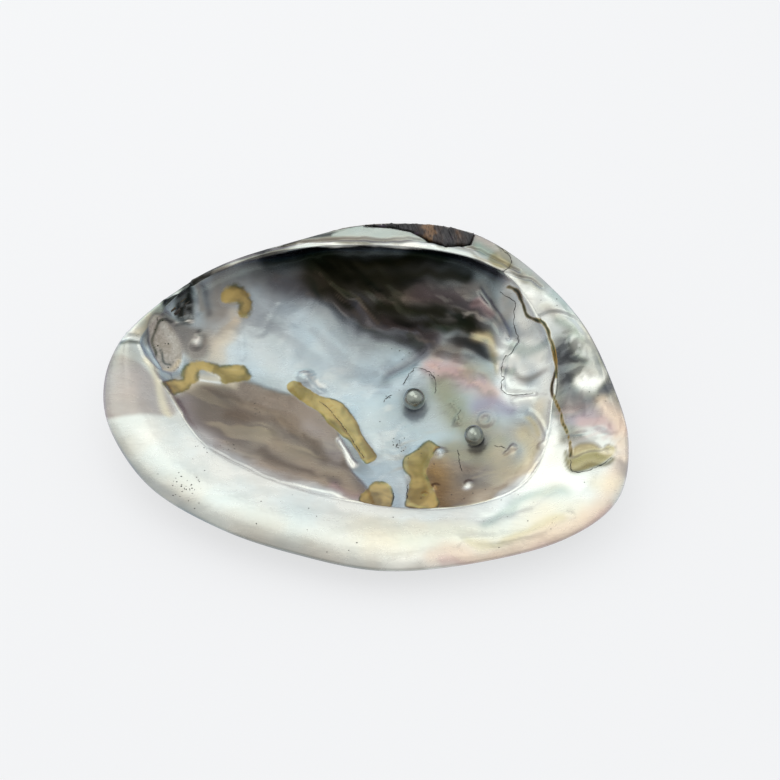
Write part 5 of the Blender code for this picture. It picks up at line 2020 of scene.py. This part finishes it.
@dataclass
class Pearl:
    """One loose pearl: a little baroque, and flattened a hair where it sits."""

    node: str
    seed: int
    lumps: float = 0.022
    subdivisions: int = 6

    def build(self, finish: bpy.types.Material) -> bpy.types.Object:
        """Makes the pearl in its solid's box.

        Args:
            finish: the pearl's finish.

        Returns:
            The pearl.
        """
        low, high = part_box(self.node)
        centre, half = np.array((low + high) / 2.0), np.array((high - low) / 2.0)
        mesh = bmesh.new()
        bmesh.ops.create_icosphere(mesh, subdivisions=self.subdivisions, radius=1.0)
        points = np.array([vertex.co[:] for vertex in mesh.verts])
        grain = Grain(self.seed)
        swell = grain.at(points[:, :2] * 1.3 + points[:, 2:] * 0.7, 0.9) + grain.at(points[:, 1:] * 1.1, 0.8)
        points *= (1.0 - self.lumps * (1.0 + 0.5 * swell))[:, None]
        for vertex, place in zip(mesh.verts, centre + points * half):
            vertex.co = place
        data = bpy.data.meshes.new(self.node + "_body")
        mesh.to_mesh(data)
        mesh.free()
        data.shade_smooth()
        data.materials.append(finish)
        return link_object(self.node + "_body", data)


@dataclass
class Ligament:
    """The dried ligament: horny sheets on edge, thin along its tail and piled up in its pad."""

    form: ValveForm
    stations: int = 220
    across: int = 26
    seed: int = 21
    end_inset: float = 0.05
    notches: Sequence[tuple[float, float, float]] = ((10.2, 0.35, 1.0), (4.6, 0.25, 0.6))
    warm_spots: Sequence[tuple[float, float, float]] = ((21.0, 4.0, 1.0), (31.0, 3.0, 0.55))

    @staticmethod
    def bumps(x: float, spots: Sequence[tuple[float, float, float]]) -> float:
        """The sum at x of smooth bumps, each with its place, its width and its height."""
        return sum(height * math.exp(-((x - place) / width) ** 2) for place, width, height in spots)

    def cuts(self, x: float) -> tuple[float, float]:
        """The lowest and highest y of the outline at that x."""
        outline = self.form.ligament
        found = [
            ay + (by - ay) * (x - ax) / (bx - ax)
            for (ax, ay), (bx, by) in zip(outline, (*outline[1:], outline[0])) if (ax > x) != (bx > x)
        ]
        return min(found), max(found)

    def build(self, finish: bpy.types.Material) -> bpy.types.Object:
        """Lofts the ligament along the hinge, with its sheets and its breaks.

        Args:
            finish: its finish.

        Returns:
            The ligament.
        """
        low, top = self.form.ligament_bottom, self.form.ligament_thickness
        grain = Grain(self.seed)
        ends = [x for x, _ in self.form.ligament]
        points, browning = [], []
        for x in np.linspace(min(ends) + self.end_inset, max(ends) - self.end_inset, self.stations):
            y = np.linspace(*self.cuts(x), self.across)
            middle = 0.5 * (y[0] + y[-1])
            shake = 0.10 * grain.at(np.array([[x, 3.0]]), 1.1)[0]
            y = middle + (y - middle) * (0.94 + shake)
            side = np.abs(np.linspace(-1.0, 1.0, self.across))
            place = np.column_stack([np.full(self.across, x), y])
            leaning = np.column_stack([x + 0.35 * (y - middle), 0.16 * y])
            sheets = grain.at(leaning, 0.85) + 0.5 * grain.at(leaning + 9.0, 0.38)
            height = 0.62 + 0.16 * sheets + 0.2 * grain.at(place, 3.1)
            height *= 1.0 - 0.75 * self.bumps(x, self.notches)
            height = np.clip(height, 0.08, 0.98) * np.sqrt(1.0 - side ** 6)
            section = np.column_stack([place, low + top * np.clip(height, 0.03, 0.98)])
            floor = np.column_stack([place[::-1][1:-1], np.full(self.across - 2, low + 0.02)])
            points.append(np.concatenate([section, floor]))
            warm = self.bumps(x, self.warm_spots) + 0.25 * grain.at(points[-1][:, :2], 1.7)
            browning.append(np.clip(warm, 0.0, 1.0))
        count = len(points[0])
        faces = []
        for k in range(self.stations - 1):
            for j in range(count):
                n = (j + 1) % count
                faces.append((k * count + j, k * count + n, (k + 1) * count + n, (k + 1) * count + j))
        faces.append(tuple(reversed(range(count))))
        faces.append(tuple((self.stations - 1) * count + j for j in range(count)))
        places = np.concatenate(points)
        made = mesh_object("ligament_sheets", self.form.place.to_model(places), faces=faces)
        mesh = bmesh.new()
        mesh.from_mesh(made.data)
        bmesh.ops.recalc_face_normals(mesh, faces=mesh.faces)
        mesh.to_mesh(made.data)
        mesh.free()
        made.data.shade_smooth()
        add_attribute(made.data, "valve_place", places)
        add_attribute(made.data, "browning", np.concatenate(browning))
        made.data.materials.append(finish)
        return made


@dataclass
class Studio:
    """A plain pale floor, soft light all round, and the camera over the valve's lower edge."""

    distance: float = 0.345
    elevation: float = math.radians(58.0)
    aside: float = 0.00764
    above: float = 0.00191
    lens: float = 50.0
    floor_shade: float = 0.24
    floor_glow: float = 0.665
    sky_zenith: float = 0.86
    sky_horizon: float = 0.20
    sky_sides: float = 0.55
    key_watts: float = 1.25
    key_size: float = 0.6
    fill_share: float = 0.5
    fill_size: float = 0.4
    half_floor: float = 3.0

    def build(self, form: ValveForm) -> None:
        """Makes the floor, the lights and the camera.

        Args:
            form: the valve, whose frame the camera looks at.
        """
        self.make_floor()
        self.make_sky()
        self.make_light("key_light", (-0.22, 0.30, 0.62), self.key_watts, self.key_size)
        self.make_light("fill_light", (0.20, -0.05, 0.80), self.fill_share * self.key_watts,
                        self.fill_size)
        self.make_camera(form)
        bpy.context.scene.view_settings.view_transform = "Standard"

    def make_floor(self) -> None:
        """Makes the floor."""
        half = self.half_floor
        corners = [(-half, -half, 0.0), (half, -half, 0.0), (half, half, 0.0), (-half, half, 0.0)]
        floor = mesh_object("floor", corners, faces=[(0, 1, 2, 3)])
        material, wire, shader = new_material("pale_floor")
        wire.fill(shader, {
            "Base Color": (self.floor_shade, self.floor_shade, 1.01 * self.floor_shade, 1.0),
            "Roughness": 0.8, "Specular IOR Level": 0.1,
            "Emission Color": (0.98, 0.99, 1.0, 1.0), "Emission Strength": self.floor_glow,
        })
        floor.data.materials.append(material)

    def make_sky(self) -> None:
        """Makes the soft light all round, bright overhead and dim towards the horizon."""
        world = bpy.data.worlds.new("studio")
        bpy.context.scene.world = world
        world.use_nodes = True
        wire = Wiring(world.node_tree)
        parts = wire.add("ShaderNodeSeparateXYZ", {0: wire.add("ShaderNodeTexCoord").outputs["Generated"]})
        lean = wire.maths("MULTIPLY_ADD", parts.outputs["Y"], 0.25, parts.outputs["Z"])
        lean = wire.maths("MULTIPLY_ADD", wire.maths("ABSOLUTE", parts.outputs["X"]), self.sky_sides, lean)
        wire.fill(world.node_tree.nodes["Background"], {
            "Color": (0.97, 0.98, 1.0, 1.0),
            "Strength": wire.ramp(lean, 0.05, 0.85, self.sky_horizon, self.sky_zenith),
        })

    def make_light(self, name: str, place: tuple[float, float, float], watts: float, size: float) -> None:
        """Makes one soft box that faces the valve.

        Args:
            name: its name.
            place: where it hangs.
            watts: its power.
            size: its side.
        """
        data = bpy.data.lights.new(name, "AREA")
        data.energy, data.size = watts, size
        light = link_object(name, data)
        light.location = place
        light.rotation_euler = (-Vector(place)).to_track_quat("-Z", "Y").to_euler()

    def make_camera(self, form: ValveForm) -> None:
        """Makes the camera.

        Args:
            form: the valve, whose frame the camera looks at.
        """
        ahead = Vector((0.0, math.cos(self.elevation), -math.sin(self.elevation)))
        above = Vector((0.0, math.sin(self.elevation), math.cos(self.elevation)))
        data = bpy.data.cameras.new("camera")
        data.lens, data.sensor_width = self.lens, 36.0
        camera = link_object("camera", data)
        target = Vector(form.place.to_model(np.zeros(3)))
        target += Vector((self.aside, 0.0, 0.0)) + above * self.above
        turn = ahead.to_track_quat("-Z", "Y").to_matrix().to_4x4()
        camera.matrix_world = Matrix.Translation(target - ahead * self.distance) @ turn
        bpy.context.scene.camera = camera


def main() -> None:
    """Builds the valve, its ligament, its pearls and its small marks, then the studio."""
    logging.basicConfig(level=logging.INFO, format="%(name)s: %(message)s")
    form, rings = ValveForm(), GrowthRings()
    valve = ValveSkin(form).build(NacreMarks(), rings)
    valve = rings.carve(valve, NacreFinish().make(), SkinFinish().make())

    dark = DarkFinish().make()
    cracks = HairlineCracks().spin(valve, form, dark)
    specks = Specks().strew(valve, form, dark)
    settle(valve, "nacre", "shell")
    settle(cracks, "nacre")
    settle(specks, "nacre")

    settle(Ligament(form).build(LigamentFinish().make()), "ligament", "hinge_ligament")
    lustrous = PearlFinish().make()
    for node, seed in (("pearl_large", 31), ("pearl_small", 32)):
        settle(Pearl(node, seed).build(lustrous), "pearl", node)

    Studio().build(form)


if __name__ == "__main__":
    main()
